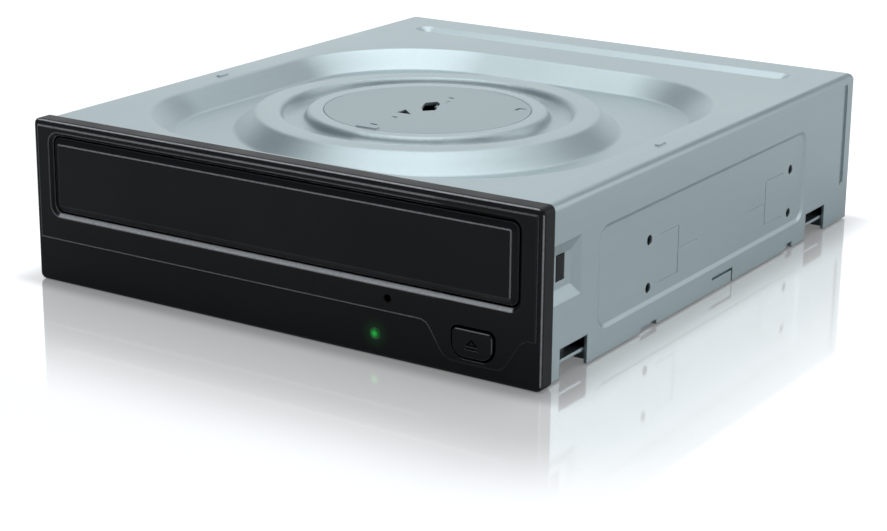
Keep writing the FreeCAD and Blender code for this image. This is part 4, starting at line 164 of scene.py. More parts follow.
class MechanismSettings(PropertyGroup):
    """Tray, loader, traverse and pickup."""
    tray: tint("Tray", "Colour of the tray", (0.020, 0.020, 0.022))
    frame: tint("Frame", "Colour of the loader frame", (0.030, 0.030, 0.033))
    acetal: tint("Gears", "Colour of the gears", (0.78, 0.77, 0.71))
    can: tint("Motor can", "Colour of the motor cans", (0.58, 0.59, 0.60))
    rubber: tint("Rubber", "Colour of belt, bushes and friction ring", (0.018, 0.018, 0.019))
    polished: tint("Polished steel", "Colour of rods and lead screw", (0.72, 0.73, 0.74))
    alloy: tint("Alloy", "Colour of turntable and pickup", (0.62, 0.63, 0.64))
    lead: size("Lead", "Advance of the lead screw in one turn", 3.0 * MM)


class BoardSettings(PropertyGroup):
    """Circuit boards, connector and cable."""
    mask: tint("Solder mask", "Colour of the boards", (0.010, 0.105, 0.045))
    copper: tint("Covered copper", "Colour of tracks under the mask", (0.020, 0.180, 0.070))
    resin: tint("Chip resin", "Colour of the chips", (0.022, 0.022, 0.024))
    gold: tint("Gold", "Colour of the connector's contacts", (0.85, 0.62, 0.26))
    ivory: tint("Socket", "Colour of the ribbon sockets", (0.80, 0.78, 0.70))
    lead_pitch: size("Lead pitch", "Distance between two leads of a chip", 0.8 * MM)


CAMERA_TURN = [math.radians(angle) for angle in (73.448, -0.2852, 33.8035)]


class StageSettings(PropertyGroup):
    """Floor, light and camera."""
    floor: tint("Floor", "Colour of the floor", (0.93, 0.93, 0.935))
    bounce: tint("Bounce", "Colour of the floor as it lights the drive", (0.70, 0.70, 0.705))
    floor_roughness: share("Floor roughness", "Roughness of the floor", 0.06)
    floor_glow: amount("Floor glow", "Light given by the floor itself", 0.25)
    mirror: share("Mirror", "How far the floor mirrors the drive at its foot", 0.55)
    mirror_reach: size("Mirror reach", "Distance at which the floor stops mirroring", 64.0 * MM)
    # Painted shadow at the drive's foot: how dark, and how far in front and at the sides.
    contact: share("Contact", "How far the floor darkens at the drive's foot", 0.36)
    contact_reach: size("Contact reach", "Length of that darkening in front", 7.0 * MM)
    contact_side: size("Contact side", "Length of that darkening at the sides", 13.0 * MM)
    sky: amount("Sky", "Strength of the light from all round", 0.26)
    key: amount("Key", "Power of the overhead light in watts", 20.0)
    backdrop: amount("Backdrop", "Power of the light behind in watts", 4.8)
    side: amount("Side", "Power of the light at the right in watts", 1.2)
    lens: FloatProperty(name="Lens", description="Focal length in millimetres", min=1.0,
                        default=88.081)
    place: FloatVectorProperty(name="Camera", description="Place of the camera", size=3,
                               subtype="TRANSLATION", default=(0.29796, -0.47028, 0.16850))
    turn: FloatVectorProperty(name="Turn", description="Turn of the camera", size=3,
                              subtype="EULER", default=CAMERA_TURN)
    slide: FloatVectorProperty(name="Shift", description="Shift of the picture", size=2,
                               default=(0.0338, -0.0338))


SETTINGS = {
    "drive_casing": CasingSettings,
    "drive_front": FrontSettings,
    "drive_fasteners": FastenerSettings,
    "drive_mechanism": MechanismSettings,
    "drive_boards": BoardSettings,
    "drive_stage": StageSettings,
}


# Shader nodes

def put(tree, source, socket):
    """Feeds a node's input: a socket is linked, and a constant is set."""
    if isinstance(source, bpy.types.NodeSocket):
        tree.links.new(source, socket)
    else:
        socket.default_value = source


def add_math(tree, operation, first, second=0.0, clamp=False):
    """A Math node; first and second are sockets or numbers."""
    item = tree.nodes.new("ShaderNodeMath")
    item.operation = operation
    item.use_clamp = clamp
    put(tree, first, item.inputs[0])
    put(tree, second, item.inputs[1])
    return item.outputs[0]


def add_vector(tree, operation, first, second=None):
    """A Vector Math node; gives a number for a length or a dot product, and else a vector."""
    item = tree.nodes.new("ShaderNodeVectorMath")
    item.operation = operation
    put(tree, first, item.inputs[0])
    if second is not None:
        put(tree, second, item.inputs[1])
    return item.outputs["Value" if operation in ("LENGTH", "DOT_PRODUCT") else "Vector"]


def add_parts(tree, vector):
    """The X, Y and Z parts of a vector."""
    item = tree.nodes.new("ShaderNodeSeparateXYZ")
    tree.links.new(vector, item.inputs[0])
    return item.outputs


def add_noise(tree, vector, scale, detail, roughness=0.5):
    """A Noise Texture node."""
    item = tree.nodes.new("ShaderNodeTexNoise")
    for label, source in (("Vector", vector), ("Scale", scale), ("Detail", detail),
                          ("Roughness", roughness)):
        put(tree, source, item.inputs[label])
    return item.outputs["Fac"]


def add_range(tree, value, low, high, new_low=0.0, new_high=1.0, kind="LINEAR"):
    """A Map Range node from low and high to the new ones; each is a socket or a number."""
    item = tree.nodes.new("ShaderNodeMapRange")
    item.interpolation_type = kind
    for label, source in (("Value", value), ("From Min", low), ("From Max", high),
                          ("To Min", new_low), ("To Max", new_high)):
        put(tree, source, item.inputs[label])
    return item.outputs["Result"]


def add_sum(tree, first, first_share, second, second_share):
    """The sum of two sockets, each times its share."""
    return add_math(tree, "ADD", add_math(tree, "MULTIPLY", first, first_share),
                    add_math(tree, "MULTIPLY", second, second_share))


# Shared effects, each a shader node group

NUMBER = "NodeSocketFloat"
VECTOR = "NodeSocketVector"


def new_group(name, inputs, outputs):
    """An empty group with named sockets; returns its tree, what comes in and what goes out."""
    tree = bpy.data.node_groups.new(name, "ShaderNodeTree")
    for label, kind, default in inputs:
        socket = tree.interface.new_socket(label, in_out="INPUT", socket_type=kind)
        if default is not None:
            socket.default_value = default
    for label, kind in outputs:
        tree.interface.new_socket(label, in_out="OUTPUT", socket_type=kind)
    enter = tree.nodes.new("NodeGroupInput")
    leave = tree.nodes.new("NodeGroupOutput")
    return tree, enter.outputs, leave.inputs


def shared(build):
    """Builds a group once, under its function's name; later calls give the same group."""
    @functools.wraps(build)
    def once():
        name = build.__name__
        if name not in bpy.data.node_groups:
            build(name)
        return bpy.data.node_groups[name]
    return once


@shared
def spread_round(name):
    """Distance from a line through a centre, and a mask that falls from 1 there to 0 at a radius.

    Across has a 1 for each axis that the distance counts. The mask is 1 - distance / radius,
    squared.
    """
    tree, given, result = new_group(
        name,
        [("Vector", VECTOR, None), ("Centre", VECTOR, None), ("Across", VECTOR, (1.0, 0.0, 1.0)),
         ("Radius", NUMBER, 2.0 * MM)],
        [("Distance", NUMBER), ("Mask", NUMBER)],
    )
    offset = add_vector(tree, "SUBTRACT", given["Vector"], given["Centre"])
    across = add_vector(tree, "MULTIPLY", offset, given["Across"])
    distance = add_vector(tree, "LENGTH", across)
    way = add_math(tree, "DIVIDE", distance, given["Radius"])
    fall = add_math(tree, "SUBTRACT", 1.0, way, clamp=True)
    tree.links.new(distance, result["Distance"])
    tree.links.new(add_math(tree, "MULTIPLY", fall, fall), result["Mask"])


SURFACE_OUT = [("Height", NUMBER), ("Tone", NUMBER), ("Gloss", NUMBER)]


@shared
def moulded_grain(name):
    """Eroded texture of a moulded face: cells over fine noise, with a slow change of tone."""
    tree, given, result = new_group(
        name, [("Vector", VECTOR, None), ("Scale", NUMBER, 3000.0)], SURFACE_OUT)
    place, scale = given["Vector"], given["Scale"]
    fine = add_noise(tree, place, scale, detail=3.0, roughness=0.6)
    cells = tree.nodes.new("ShaderNodeTexVoronoi")
    tree.links.new(place, cells.inputs["Vector"])
    tree.links.new(add_math(tree, "MULTIPLY", scale, 0.7), cells.inputs["Scale"])
    height = add_math(tree, "MULTIPLY", fine, cells.outputs["Distance"])
    cloud = add_noise(tree, place, scale=38.0, detail=3.0)
    tone = add_math(tree, "ADD", cloud, add_math(tree, "MULTIPLY", fine, 0.5))
    patches = add_noise(tree, place, scale=60.0, detail=4.0)
    gloss = add_range(tree, patches, low=0.3, high=0.7, new_low=-0.05, new_high=0.07)
    tree.links.new(height, result["Height"])
    tree.links.new(add_range(tree, tone, low=0.45, high=1.05), result["Tone"])
    tree.links.new(gloss, result["Gloss"])


@shared
def rolled_sheet(name):
    """Rolled and plated sheet: streaks along Y, soft clouds and a fine pitted grain."""
    tree, given, result = new_group(
        name, [("Vector", VECTOR, None), ("Scale", NUMBER, 900.0)], SURFACE_OUT)
    place = given["Vector"]
    drawn = add_vector(tree, "MULTIPLY", place, (1.0, 0.04, 1.0))
    streak = add_noise(tree, drawn, given["Scale"], detail=4.0, roughness=0.62)
    cloud = add_noise(tree, place, scale=16.0, detail=4.0, roughness=0.55)
    grain = add_noise(tree, place, scale=2600.0, detail=2.0)
    tone = add_sum(tree, streak, 0.45, cloud, 0.55)
    gloss = add_range(tree, cloud, low=0.3, high=0.7, new_low=-0.04, new_high=0.06)
    tree.links.new(add_sum(tree, streak, 0.35, grain, 0.65), result["Height"])
    tree.links.new(add_range(tree, tone, low=0.36, high=0.64), result["Tone"])
    tree.links.new(gloss, result["Gloss"])


@shared
def edge_catch(name):
    """Masks and rounded normal along edges, from how far a rounded normal leaves the face's own.

    The mask lightens edges both as wear and as a painted highlight, and is strongest on level
    edges, which look to the light above and to the floor. The painted glint marks the edges that
    look up and forward, and the painted flank glint those that look right and forward: each
    rises as the rounded normal nears its direction, from the cosine given as Narrow.
    """
    tree, given, result = new_group(
        name,
        [("Radius", NUMBER, 0.3 * MM), ("Upward", VECTOR, (0.0, -0.707, 0.707)),
         ("Sideways", VECTOR, (0.707, -0.707, 0.0)), ("Narrow", NUMBER, 0.94)],
        [("Mask", NUMBER), ("Glint", NUMBER), ("Flank", NUMBER), ("Normal", VECTOR)],
    )
    bevel = tree.nodes.new("ShaderNodeBevel")
    bevel.samples = 4
    tree.links.new(given["Radius"], bevel.inputs["Radius"])
    rounded = bevel.outputs["Normal"]
    face = tree.nodes.new("ShaderNodeNewGeometry").outputs["Normal"]
    aligned = add_vector(tree, "DOT_PRODUCT", rounded, face)
    bent = add_math(tree, "SUBTRACT", 1.0, aligned, clamp=True)
    steep = add_math(tree, "ABSOLUTE", add_parts(tree, rounded)["Z"])
    # Level edges get the full painted highlight and wear, upright edges half of it.
    level = add_range(tree, steep, low=0.0, high=0.7, new_low=0.5)
    mask = add_math(tree, "MULTIPLY", add_range(tree, bent, low=0.01, high=0.12), level)
    for direction, label, most in (("Upward", "Glint", 1.0), ("Sideways", "Flank", 0.75)):
        towards = add_vector(tree, "DOT_PRODUCT", rounded, given[direction])
        caught = add_range(tree, towards, given["Narrow"], high=0.995, new_high=most,
                           kind="SMOOTHSTEP")
        tree.links.new(caught, result[label])
    tree.links.new(mask, result["Mask"])
    tree.links.new(rounded, result["Normal"])


# Finishes

MIX_FACTOR, MIX_FIRST, MIX_SECOND, MIX_RESULT = 0, 6, 7, 2


class Finish:
    """A material being made: its tree, its shader and the object coordinates."""

    def __init__(self, name, roughness, metallic=0.0):
        self.material = bpy.data.materials.new(name)
        self.material.use_nodes = True
        self.tree = self.material.node_tree
        self.shader = self.tree.nodes["Principled BSDF"]
        self.feed("Metallic", metallic)
        self.feed("Roughness", roughness)
        self.roughness = roughness
        self.place = self.tree.nodes.new("ShaderNodeTexCoord").outputs["Object"]

    def feed(self, label, source):
        """Sets an input of the shader; the source is a socket or a constant."""
        put(self.tree, source, self.shader.inputs[label])

    def use(self, group, **values):
        """Places a shared effect and sets its inputs; each value is a socket or a constant."""
        item = self.tree.nodes.new("ShaderNodeGroup")
        item.node_tree = group
        if "Vector" in item.inputs:
            self.tree.links.new(self.place, item.inputs["Vector"])
        for label, source in values.items():
            put(self.tree, source, item.inputs[label])
        return item.outputs

    def blend(self, mask, first, second):
        """A colour between first and second; each is a socket or a plain colour."""
        item = self.tree.nodes.new("ShaderNodeMix")
        item.data_type = "RGBA"
        self.tree.links.new(mask, item.inputs[MIX_FACTOR])
        for index, source in ((MIX_FIRST, first), (MIX_SECOND, second)):
            plain = not isinstance(source, bpy.types.NodeSocket)
            put(self.tree, (*source, 1.0) if plain else source, item.inputs[index])
        return item.outputs[MIX_RESULT]

    def paint(self, colour):
        """Sets the colour, in place of an earlier one."""
        self.feed("Base Color", colour)

    def vary_gloss(self, change):
        """Roughness of the finish plus a change that varies over the surface."""
        self.feed("Roughness", add_math(self.tree, "ADD", change, self.roughness, clamp=True))

    def shine_out(self, colour, strength):
        """Light of its own, with a colour that varies over the surface."""
        self.feed("Emission Color", colour)
        self.feed("Emission Strength", strength)

    def emboss(self, height, depth, strength, normal=None):
        """Bump from a height, over a rounded normal if one is given."""
        item = self.tree.nodes.new("ShaderNodeBump")
        item.inputs["Strength"].default_value = strength
        item.inputs["Distance"].default_value = depth
        self.tree.links.new(height, item.inputs["Height"])
        if normal is not None:
            self.tree.links.new(normal, item.inputs["Normal"])
        self.feed("Normal", item.outputs["Normal"])


def lighter(colour, factor):
    """A colour times a factor, darker where the factor is below 1."""
    return tuple(min(1.0, channel * factor) for channel in colour)


SHEET_DEPTH = 6e-6
GRAIN_DEPTH = 25e-6
PAINTED_EDGE_SHEEN = 1.06
FOLD_END = 1.1
TONE_LOW, TONE_HIGH = 0.85, 1.25
# Speckle of the painted glint.
SPECKLE_LOW, SPECKLE_HIGH = 0.5, 1.3


def metal_finish(name, bright, dark, roughness, streaks, edge_radius, depth=SHEET_DEPTH,
                 pressing=None):
    """Bare or plated metal with rolled streaks, clouds and edges lightened as a painted highlight.

    A pressing is the middle of a pressed hub, the reach of its folds and their radius: edges are
    softer there.
    """
    finish = Finish(name, roughness, metallic=1.0)
    sheet = finish.use(rolled_sheet(), Scale=streaks)
    radius = edge_radius
    if pressing:
        centre, reach, fold_radius = pressing
        hub = finish.use(spread_round(), Centre=centre, Across=(1.0, 1.0, 0.0), Radius=reach)
        radius = add_range(finish.tree, hub["Distance"], reach, FOLD_END * reach, fold_radius,
                           edge_radius)
    edge = finish.use(edge_catch(), Radius=radius)
    body = finish.blend(sheet["Tone"], dark, bright)
    # Edges are lightened a little as a painted highlight.
    finish.paint(finish.blend(edge["Mask"], body, lighter(bright, PAINTED_EDGE_SHEEN)))
    finish.vary_gloss(sheet["Gloss"])
    finish.emboss(sheet["Height"], depth, strength=0.5, normal=edge["Normal"])
    return finish.material


class Plastic(Finish):
    """Moulded plastic with an eroded grain, a slow change of tone and edges lightened by wear and
    by a painted highlight.

    Lean is the forward part of the direction in which edges catch the light, and narrow the
    cosine at which they begin to. Each method adds one layer over the ones before it.
    """

    def __init__(self, name, colour, roughness, grain, edge_radius, depth=GRAIN_DEPTH,
                 shine=0.5, lean=0.707, narrow=0.94):
        super().__init__(name, roughness)
        self.feed("Specular IOR Level", shine)
        aside = math.sqrt(1.0 - lean ** 2)
        self.edge = self.use(edge_catch(), Radius=edge_radius, Upward=(0.0, -lean, aside),
                             Sideways=(aside, -lean, 0.0), Narrow=narrow)
        # Mask of the edges lightened as wear and as a painted highlight.
        self.rubbing = self.edge["Mask"]
        self.glint = self.edge["Glint"]
        self.axes = add_parts(self.tree, self.place)
        self.grain = self.use(moulded_grain(), Scale=grain)
        self.colour = self.blend(self.grain["Tone"], lighter(colour, TONE_LOW),
                                 lighter(colour, TONE_HIGH))
        self.vary_gloss(self.grain["Gloss"])
        self.emboss(self.grain["Height"], depth, strength=0.35, normal=self.edge["Normal"])

    def cover(self, mask, colour):
        """Lays a colour over the finish where the mask is 1."""
        self.colour = self.blend(mask, self.colour, colour)
        self.paint(self.colour)

    def fade_rubbing(self, start, end, rest):
        """Weakens the edge wear and painted highlight along X, from start to end, down to a rest.
        """
        left = add_range(self.tree, self.axes["X"], start, end, 1.0, rest, kind="SMOOTHSTEP")
        self.rubbing = add_math(self.tree, "MULTIPLY", self.rubbing, left)

    def spare_rim(self, centre, reach):
        """Keeps the rim of a hole free of edge wear and painted highlight."""
        hole = self.use(spread_round(), Centre=centre, Radius=reach)
        clear = add_math(self.tree, "GREATER_THAN", hole["Distance"], reach)
        self.rubbing = add_math(self.tree, "MULTIPLY", self.rubbing, clear)
        self.glint = add_math(self.tree, "MULTIPLY", self.glint, clear)

    def rub_edges(self, colour):
        """Lightens the edges, as wear and as a painted highlight."""
        self.cover(self.rubbing, colour)

    def catch_light(self, colour, flank=0.0):
        """Paints a speckled highlight on edges that look to the light, on upright ones beyond
        flank.
        """
        outside = add_math(self.tree, "GREATER_THAN", self.axes["X"], flank)
        upright = add_math(self.tree, "MULTIPLY", self.edge["Flank"], outside)
        caught = add_math(self.tree, "MAXIMUM", self.glint, upright)
        speckled = self.blend(self.grain["Height"], lighter(colour, SPECKLE_HIGH),
                              lighter(colour, SPECKLE_LOW))
        self.cover(caught, speckled)

    def dull_mark(self, centre, reach, level):
        """Paints shade into an engraving, black and without reflection: what lies behind level,
        within reach of a centre.
        """
        near = self.use(spread_round(), Centre=centre, Radius=reach)
        inside = add_math(self.tree, "LESS_THAN", near["Distance"], reach)
        sunk = add_math(self.tree, "GREATER_THAN", self.axes["Y"], level)
        groove = add_math(self.tree, "MULTIPLY", inside, sunk)
        # Painted shade: the groove is black and, fully metallic, reflects nothing.
        self.cover(groove, BLACK)
        self.feed("Metallic", groove)

    def glow_round(self, light, centre, reach):
        """Lets the plastic glow faintly round a light."""
        spread = self.use(spread_round(), Centre=centre, Radius=reach)
        self.shine_out(self.blend(spread["Mask"], BLACK, light), 1.0)


# Setting, tone of the edges (wear and painted highlight), roughness, grain, edge radius in
# millimetres, depth, nodes
PLASTICS = {
    "tray_plastic": ("tray", 3.0, 0.46, 2400.0, 0.35, GRAIN_DEPTH, "tray"),
    "frame_plastic": ("frame", 2.4, 0.5, 1800.0, 0.3, GRAIN_DEPTH, "main_frame", "cam_slider",
                      "clamper"),
    "gear_acetal": ("acetal", 1.1, 0.34, 900.0, 0.12, 8e-6, "tray_gear", "pulley_gear",
                    "motor_pulley", "pickup_nut"),
    "belt_rubber": ("rubber", 2.2, 0.7, 3200.0, 0.15, GRAIN_DEPTH, "drive_belt", "damper_bushes",
                    "turntable_pad"),
    "actuator_plastic": ("frame", 2.0, 0.5, 2600.0, 0.2, GRAIN_DEPTH, "lens_actuator"),
    "chip_resin": ("resin", 2.0, 0.55, 2400.0, 0.12, GRAIN_DEPTH, "board_chips", "eject_switch"),
    "socket_plastic": ("ivory", 1.1, 0.45, 1500.0, 0.1, GRAIN_DEPTH, "ribbon_sockets",
                       "switch_plunger"),
    "connector_plastic": ("resin", 2.4, 0.42, 2600.0, 0.15, GRAIN_DEPTH, "sata_connector",
                          "connector_tongues"),
}
# Setting, bright and dark tone, roughness, streaks, edge radius in millimetres, own depth
METALS = {
    "screw_steel": ("steel", 1.0, 0.85, 0.32, 1500.0, 0.08),
    "motor_can": ("can", 1.0, 0.84, 0.3, 700.0, 0.2),
    "motor_steel": ("can", 1.0, 0.84, 0.3, 700.0, 0.2),
    "polished_steel": ("polished", 1.0, 0.9, 0.14, 2200.0, 0.1, 2e-6),
    "turned_alloy": ("alloy", 1.0, 0.9, 0.24, 1800.0, 0.15),
    "magnet_plating": ("alloy", 0.4, 0.3, 0.3, 900.0, 0.1),
    "cast_alloy": ("alloy", 0.85, 0.7, 0.45, 500.0, 0.25, 20e-6),
    "gold_contacts": ("gold", 1.0, 0.85, 0.22, 1500.0, 0.04),
}


def plain_plastics(settings, *names):
    """Dresses nodes in plastics of the table, in the colours of their settings."""
    for name in names:
        setting, edge_wear_and_highlight_tone, roughness, grain, edge_radius, depth, *nodes = PLASTICS[name]
        colour = getattr(settings, setting)
        plastic = Plastic(name, colour, roughness, grain, edge_radius * MM, depth)
        plastic.rub_edges(lighter(colour, edge_wear_and_highlight_tone))
        dress(plastic.material, *nodes)


def plain_metal(settings, name):
    """A metal of the table, in the colour of its setting."""
    setting, bright, dark, roughness, streaks, edge_radius, *depth = METALS[name]
    colour = getattr(settings, setting)
    return metal_finish(name, lighter(colour, bright), lighter(colour, dark), roughness, streaks,
                        edge_radius * MM, *depth)


def lit_finish(name, colour, glow, centre, reach):
    """Light pipe: bright at its middle and dark at its rim, with a fine cell pattern inside."""
    finish = Finish(name, roughness=0.18)
    grain = finish.use(moulded_grain(), Scale=900.0)
    spread = finish.use(spread_round(), Centre=centre, Radius=reach)
    core = finish.blend(grain["Tone"], colour, lighter(colour, 1.6))
    lamp = finish.blend(spread["Mask"], lighter(colour, 0.12), core)
    finish.paint(lamp)
    finish.shine_out(lamp, glow)
    finish.vary_gloss(grain["Gloss"])
    return finish.material


def board_finish(name, mask, copper):
    """Circuit board: square tracks under the solder mask, drawn with a brick pattern."""
    finish = Finish(name, roughness=0.32)
    tracks = finish.tree.nodes.new("ShaderNodeTexBrick")
    tracks.inputs["Scale"].default_value = 260.0
    tracks.inputs["Mortar Size"].default_value = 0.12
    finish.tree.links.new(finish.place, tracks.inputs["Vector"])
    grain = finish.use(moulded_grain(), Scale=700.0)
    covered = finish.blend(tracks.outputs["Fac"], mask, copper)
    finish.paint(finish.blend(grain["Tone"], covered, mask))
    finish.vary_gloss(grain["Gloss"])
    finish.emboss(tracks.outputs["Fac"], depth=20e-6, strength=0.4)
    return finish.material


BLOOM = ((0.30, 0.34, 0.62), (0.52, 0.62, 0.85))


def lens_finish(name):
    """Coated glass: a violet bloom that varies slowly over the lens."""
    finish = Finish(name, roughness=0.04)
    grain = finish.use(moulded_grain(), Scale=500.0)
    finish.paint(finish.blend(grain["Tone"], *BLOOM))
    finish.feed("Coat Weight", 0.8)
    finish.vary_gloss(grain["Gloss"])
    return finish.material


# Surfaces

def ring_surface(radius, height):
    """Closed surface of rings about Z.

    Row k, side j is (r cos t, r sin t, h) with t = 2 pi j / sides. The first and the last row
    are each closed by a pole at the row's mean height. Rows run upwards.
    """
    rows, sides = radius.shape
    t = np.linspace(0.0, 2.0 * np.pi, sides, endpoint=False)
    grid = np.stack([radius * np.cos(t), radius * np.sin(t), height], axis=-1).reshape(-1, 3)
    poles = np.array([[0.0, 0.0, height[0].mean()], [0.0, 0.0, height[-1].mean()]])
    vertices = np.concatenate([grid, poles])
    j = np.arange(sides)
    ahead = (j + 1) % sides
    k = np.arange(rows - 1)[:, None] * sides
    quads = np.stack([k + j, k + ahead, k + sides + ahead, k + sides + j], axis=-1)
    low_pole = np.full(sides, rows * sides)
    last = (rows - 1) * sides
    foot = np.stack([low_pole, ahead, j], axis=-1)
    cap = np.stack([low_pole + 1, last + j, last + ahead], axis=-1)
    return vertices, quads.reshape(-1, 4).tolist() + foot.tolist() + cap.tolist()


def lathe(profile, sides=64):
    """Turned solid: the profile's (radius, height) pairs, low to high, carried round Z."""
    r, z = np.asarray(profile, float).T
    wide = np.ones(sides)
    return ring_surface(r[:, None] * wide, z[:, None] * wide)


def turned_at(node, profile):
    """A turned solid that stands on the upright axis of a node."""
    vertices, faces = lathe(profile)
    vertices[:, :2] += centre_of(node)[:2]
    return vertices, faces


def join_surfaces(surfaces):
    """Several vertex and face sets as one."""
    vertices = []
    faces = []
    count = 0
    for points, loops in surfaces:
        vertices.append(points)
        faces.extend([[index + count for index in loop] for loop in loops])
        count += len(points)
    return np.concatenate(vertices), faces


CORNERS = np.array([[0, 0, 0], [1, 0, 0], [1, 1, 0], [0, 1, 0],
                    [0, 0, 1], [1, 0, 1], [1, 1, 1], [0, 1, 1]], float)
SIDES = np.array([[0, 3, 2, 1], [4, 5, 6, 7], [0, 1, 5, 4],
                  [1, 2, 6, 5], [2, 3, 7, 6], [3, 0, 4, 7]])


def box_row(lows, highs):
    """Many boxes: corner c of box n is low_n + c (high_n - low_n), c over the unit cube's."""
    lows = np.asarray(lows, float)
    highs = np.asarray(highs, float)
    vertices = lows[:, None, :] + CORNERS[None] * (highs - lows)[:, None, :]
    faces = SIDES[None] + len(CORNERS) * np.arange(len(lows))[:, None, None]
    return vertices.reshape(-1, 3), faces.reshape(-1, 4).tolist()


# Pieces in the scene

PIECE_CREASE = math.radians(40.0)
NODE_CREASE = math.radians(21.4)
WELD_DISTANCE = 0.001 * MM


def add_piece(name, surface, body, material, replaced=(), smooth=True):
    """Puts a surface into the scene, in place, riding on its body."""
    vertices, faces = surface
    mesh = bpy.data.meshes.new(name)
    mesh.from_pydata(vertices.tolist(), [], faces)
    mesh.validate()
    mesh.polygons.foreach_set("use_smooth", np.full(len(mesh.polygons), smooth))
    mesh.materials.append(material)
    piece = bpy.data.objects.new(name, mesh)
    bpy.context.scene.collection.objects.link(piece)
    if smooth:
        crease = piece.modifiers.new("creases", "EDGE_SPLIT")
        crease.split_angle = PIECE_CREASE
    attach(piece, body)
    if replaced:
        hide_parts(*replaced)


def dress(material, *nodes):
    """Gives CAD nodes a finish, and smooth shading between their sharp edges."""
    for node in nodes:
        if node not in NODES:
            raise RuntimeError("the packed model has no node " + node)
        item = NODES[node]
        mesh = item.data
        mesh.materials.clear()
        mesh.materials.append(material)
        mesh.polygons.foreach_set("material_index", np.zeros(len(mesh.polygons), int))
        mesh.polygons.foreach_set("use_smooth", np.ones(len(mesh.polygons), bool))
        weld = item.modifiers.new("weld", "WELD")
        weld.merge_threshold = WELD_DISTANCE
        crease = item.modifiers.new("creases", "EDGE_SPLIT")
        crease.split_angle = NODE_CREASE


def span_of(node):
    """Lowest and highest corner of a node."""
    low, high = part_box(node)
    return np.array(low), np.array(high)


def centre_of(node):
    """Middle of a node's box."""
    low, high = span_of(node)
    return (low + high) / 2.0


# Casing and front

CLAMP_TONE, CLAMP_ROUGHER = 0.86, 0.06
# Share of the front's painted edge highlight and wear that the door keeps.
DOOR_WEAR_AND_HIGHLIGHT = 0.4
BUTTON_SMOOTHER, BUTTON_EDGE, BUTTON_GLINT = 0.08, 0.6, 0.5


class DRIVE_OT_casing(Operator):
    """Plated sheet: top cover, clamp plate and bottom plate"""
    bl_idname = "drive.casing"
    bl_label = "Casing"

    def execute(self, context):
        settings = context.scene.drive_casing
        hub = centre_of("clamp_plate")
        steel = metal_finish("plated_sheet", settings.steel, settings.steel_shade,
                             roughness=settings.roughness, streaks=900.0,
                             edge_radius=settings.edge_radius,
                             pressing=(hub, settings.press_reach, settings.press_radius))
        dress(steel, "top_cover", "bottom_plate")
        flat = metal_finish("clamp_sheet", lighter(settings.steel, CLAMP_TONE),
                            lighter(settings.steel_shade, CLAMP_TONE),
                            roughness=settings.roughness + CLAMP_ROUGHER, streaks=1300.0,
                            edge_radius=settings.edge_radius)
        dress(flat, "clamp_plate")
        return {"FINISHED"}


class DRIVE_OT_front(Operator):
    """Black front: bezel, tray door, eject button and activity light"""
    bl_idname = "drive.front"
    bl_label = "Front"

    def execute(self, context):
        settings = context.scene.drive_front
        self.bezel(settings)
        self.door(settings)
        self.button(settings)
        lamp = lit_finish("lit_pipe", settings.lit, settings.glow, centre_of("led_lens"),
                          reach=1.5 * MM)
        dress(lamp, "led_lens")
        return {"FINISHED"}

    def bezel(self, settings):
        """Frame: painted edge highlight and wear weaker at its right and none round the hole, with
        a painted glow round the light.
        """
        low, high = span_of("bezel")
        hole = np.array([high[0] - settings.hole_inset, low[1], high[2] - settings.hole_drop])
        black = Plastic("front_plastic", settings.plastic, settings.roughness, grain=2600.0,
                        edge_radius=settings.edge_radius, shine=settings.shine, narrow=0.975)
        # Painted edge highlight and wear fade to the right and stay off the emergency hole's rim.
        black.fade_rubbing(settings.rub_start, settings.rub_end, settings.rub_rest)
        black.spare_rim(hole, settings.hole_reach)
        black.rub_edges(settings.plastic_rub)
        black.catch_light(settings.glint, settings.flank)
        black.glow_round(settings.halo, centre_of("led_lens"), settings.halo_radius)
        dress(black.material, "bezel")

    def door(self, settings):
        """Door: only the inner edge of its bevel catches the light."""
        black = Plastic("door_plastic", settings.plastic, settings.roughness, grain=2600.0,
                        edge_radius=settings.edge_radius, shine=settings.shine, lean=0.974,
                        narrow=0.977)
        black.rub_edges(lighter(settings.plastic_rub, DOOR_WEAR_AND_HIGHLIGHT))
        black.catch_light(settings.glint)
        dress(black.material, "tray_door")

    def button(self, settings):
        """Button: smoother than the bezel, with painted shade in its engraved mark."""
        face = span_of("eject_button")[0][1]
        black = Plastic("button_plastic", settings.plastic, settings.roughness - BUTTON_SMOOTHER,
                        grain=4200.0, edge_radius=settings.edge_radius * BUTTON_EDGE,
                        shine=settings.shine)
        black.rub_edges(settings.plastic)
        black.catch_light(lighter(settings.glint, BUTTON_GLINT))
        black.dull_mark(centre_of("eject_button"), settings.mark_reach,
                        face + settings.mark_level)
        dress(black.material, "eject_button")


# Screws

HEAD_RADIUS = 2.6 * MM
HEAD_HEIGHT = 1.1 * MM
SHANK_RADIUS = 1.4 * MM
HEAD_RINGS = np.linspace(0.04, 1.0, 15)
HEAD_DOME = 0.3
ARM_WIDTH, ARM_WIDTH_SLOPE = 0.16, 0.05
ARM_LENGTH, ARM_LENGTH_SLOPE = 0.62, 0.08
RIM = np.array([(HEAD_RADIUS, -0.35 * HEAD_HEIGHT), (HEAD_RADIUS, -0.1 * HEAD_HEIGHT),
                (HEAD_RADIUS * 0.97, 0.0), (SHANK_RADIUS, 0.0)])
ROWS_IN_TURN = 8
THREAD_START = 0.02
TIP_TAPER = 0.35


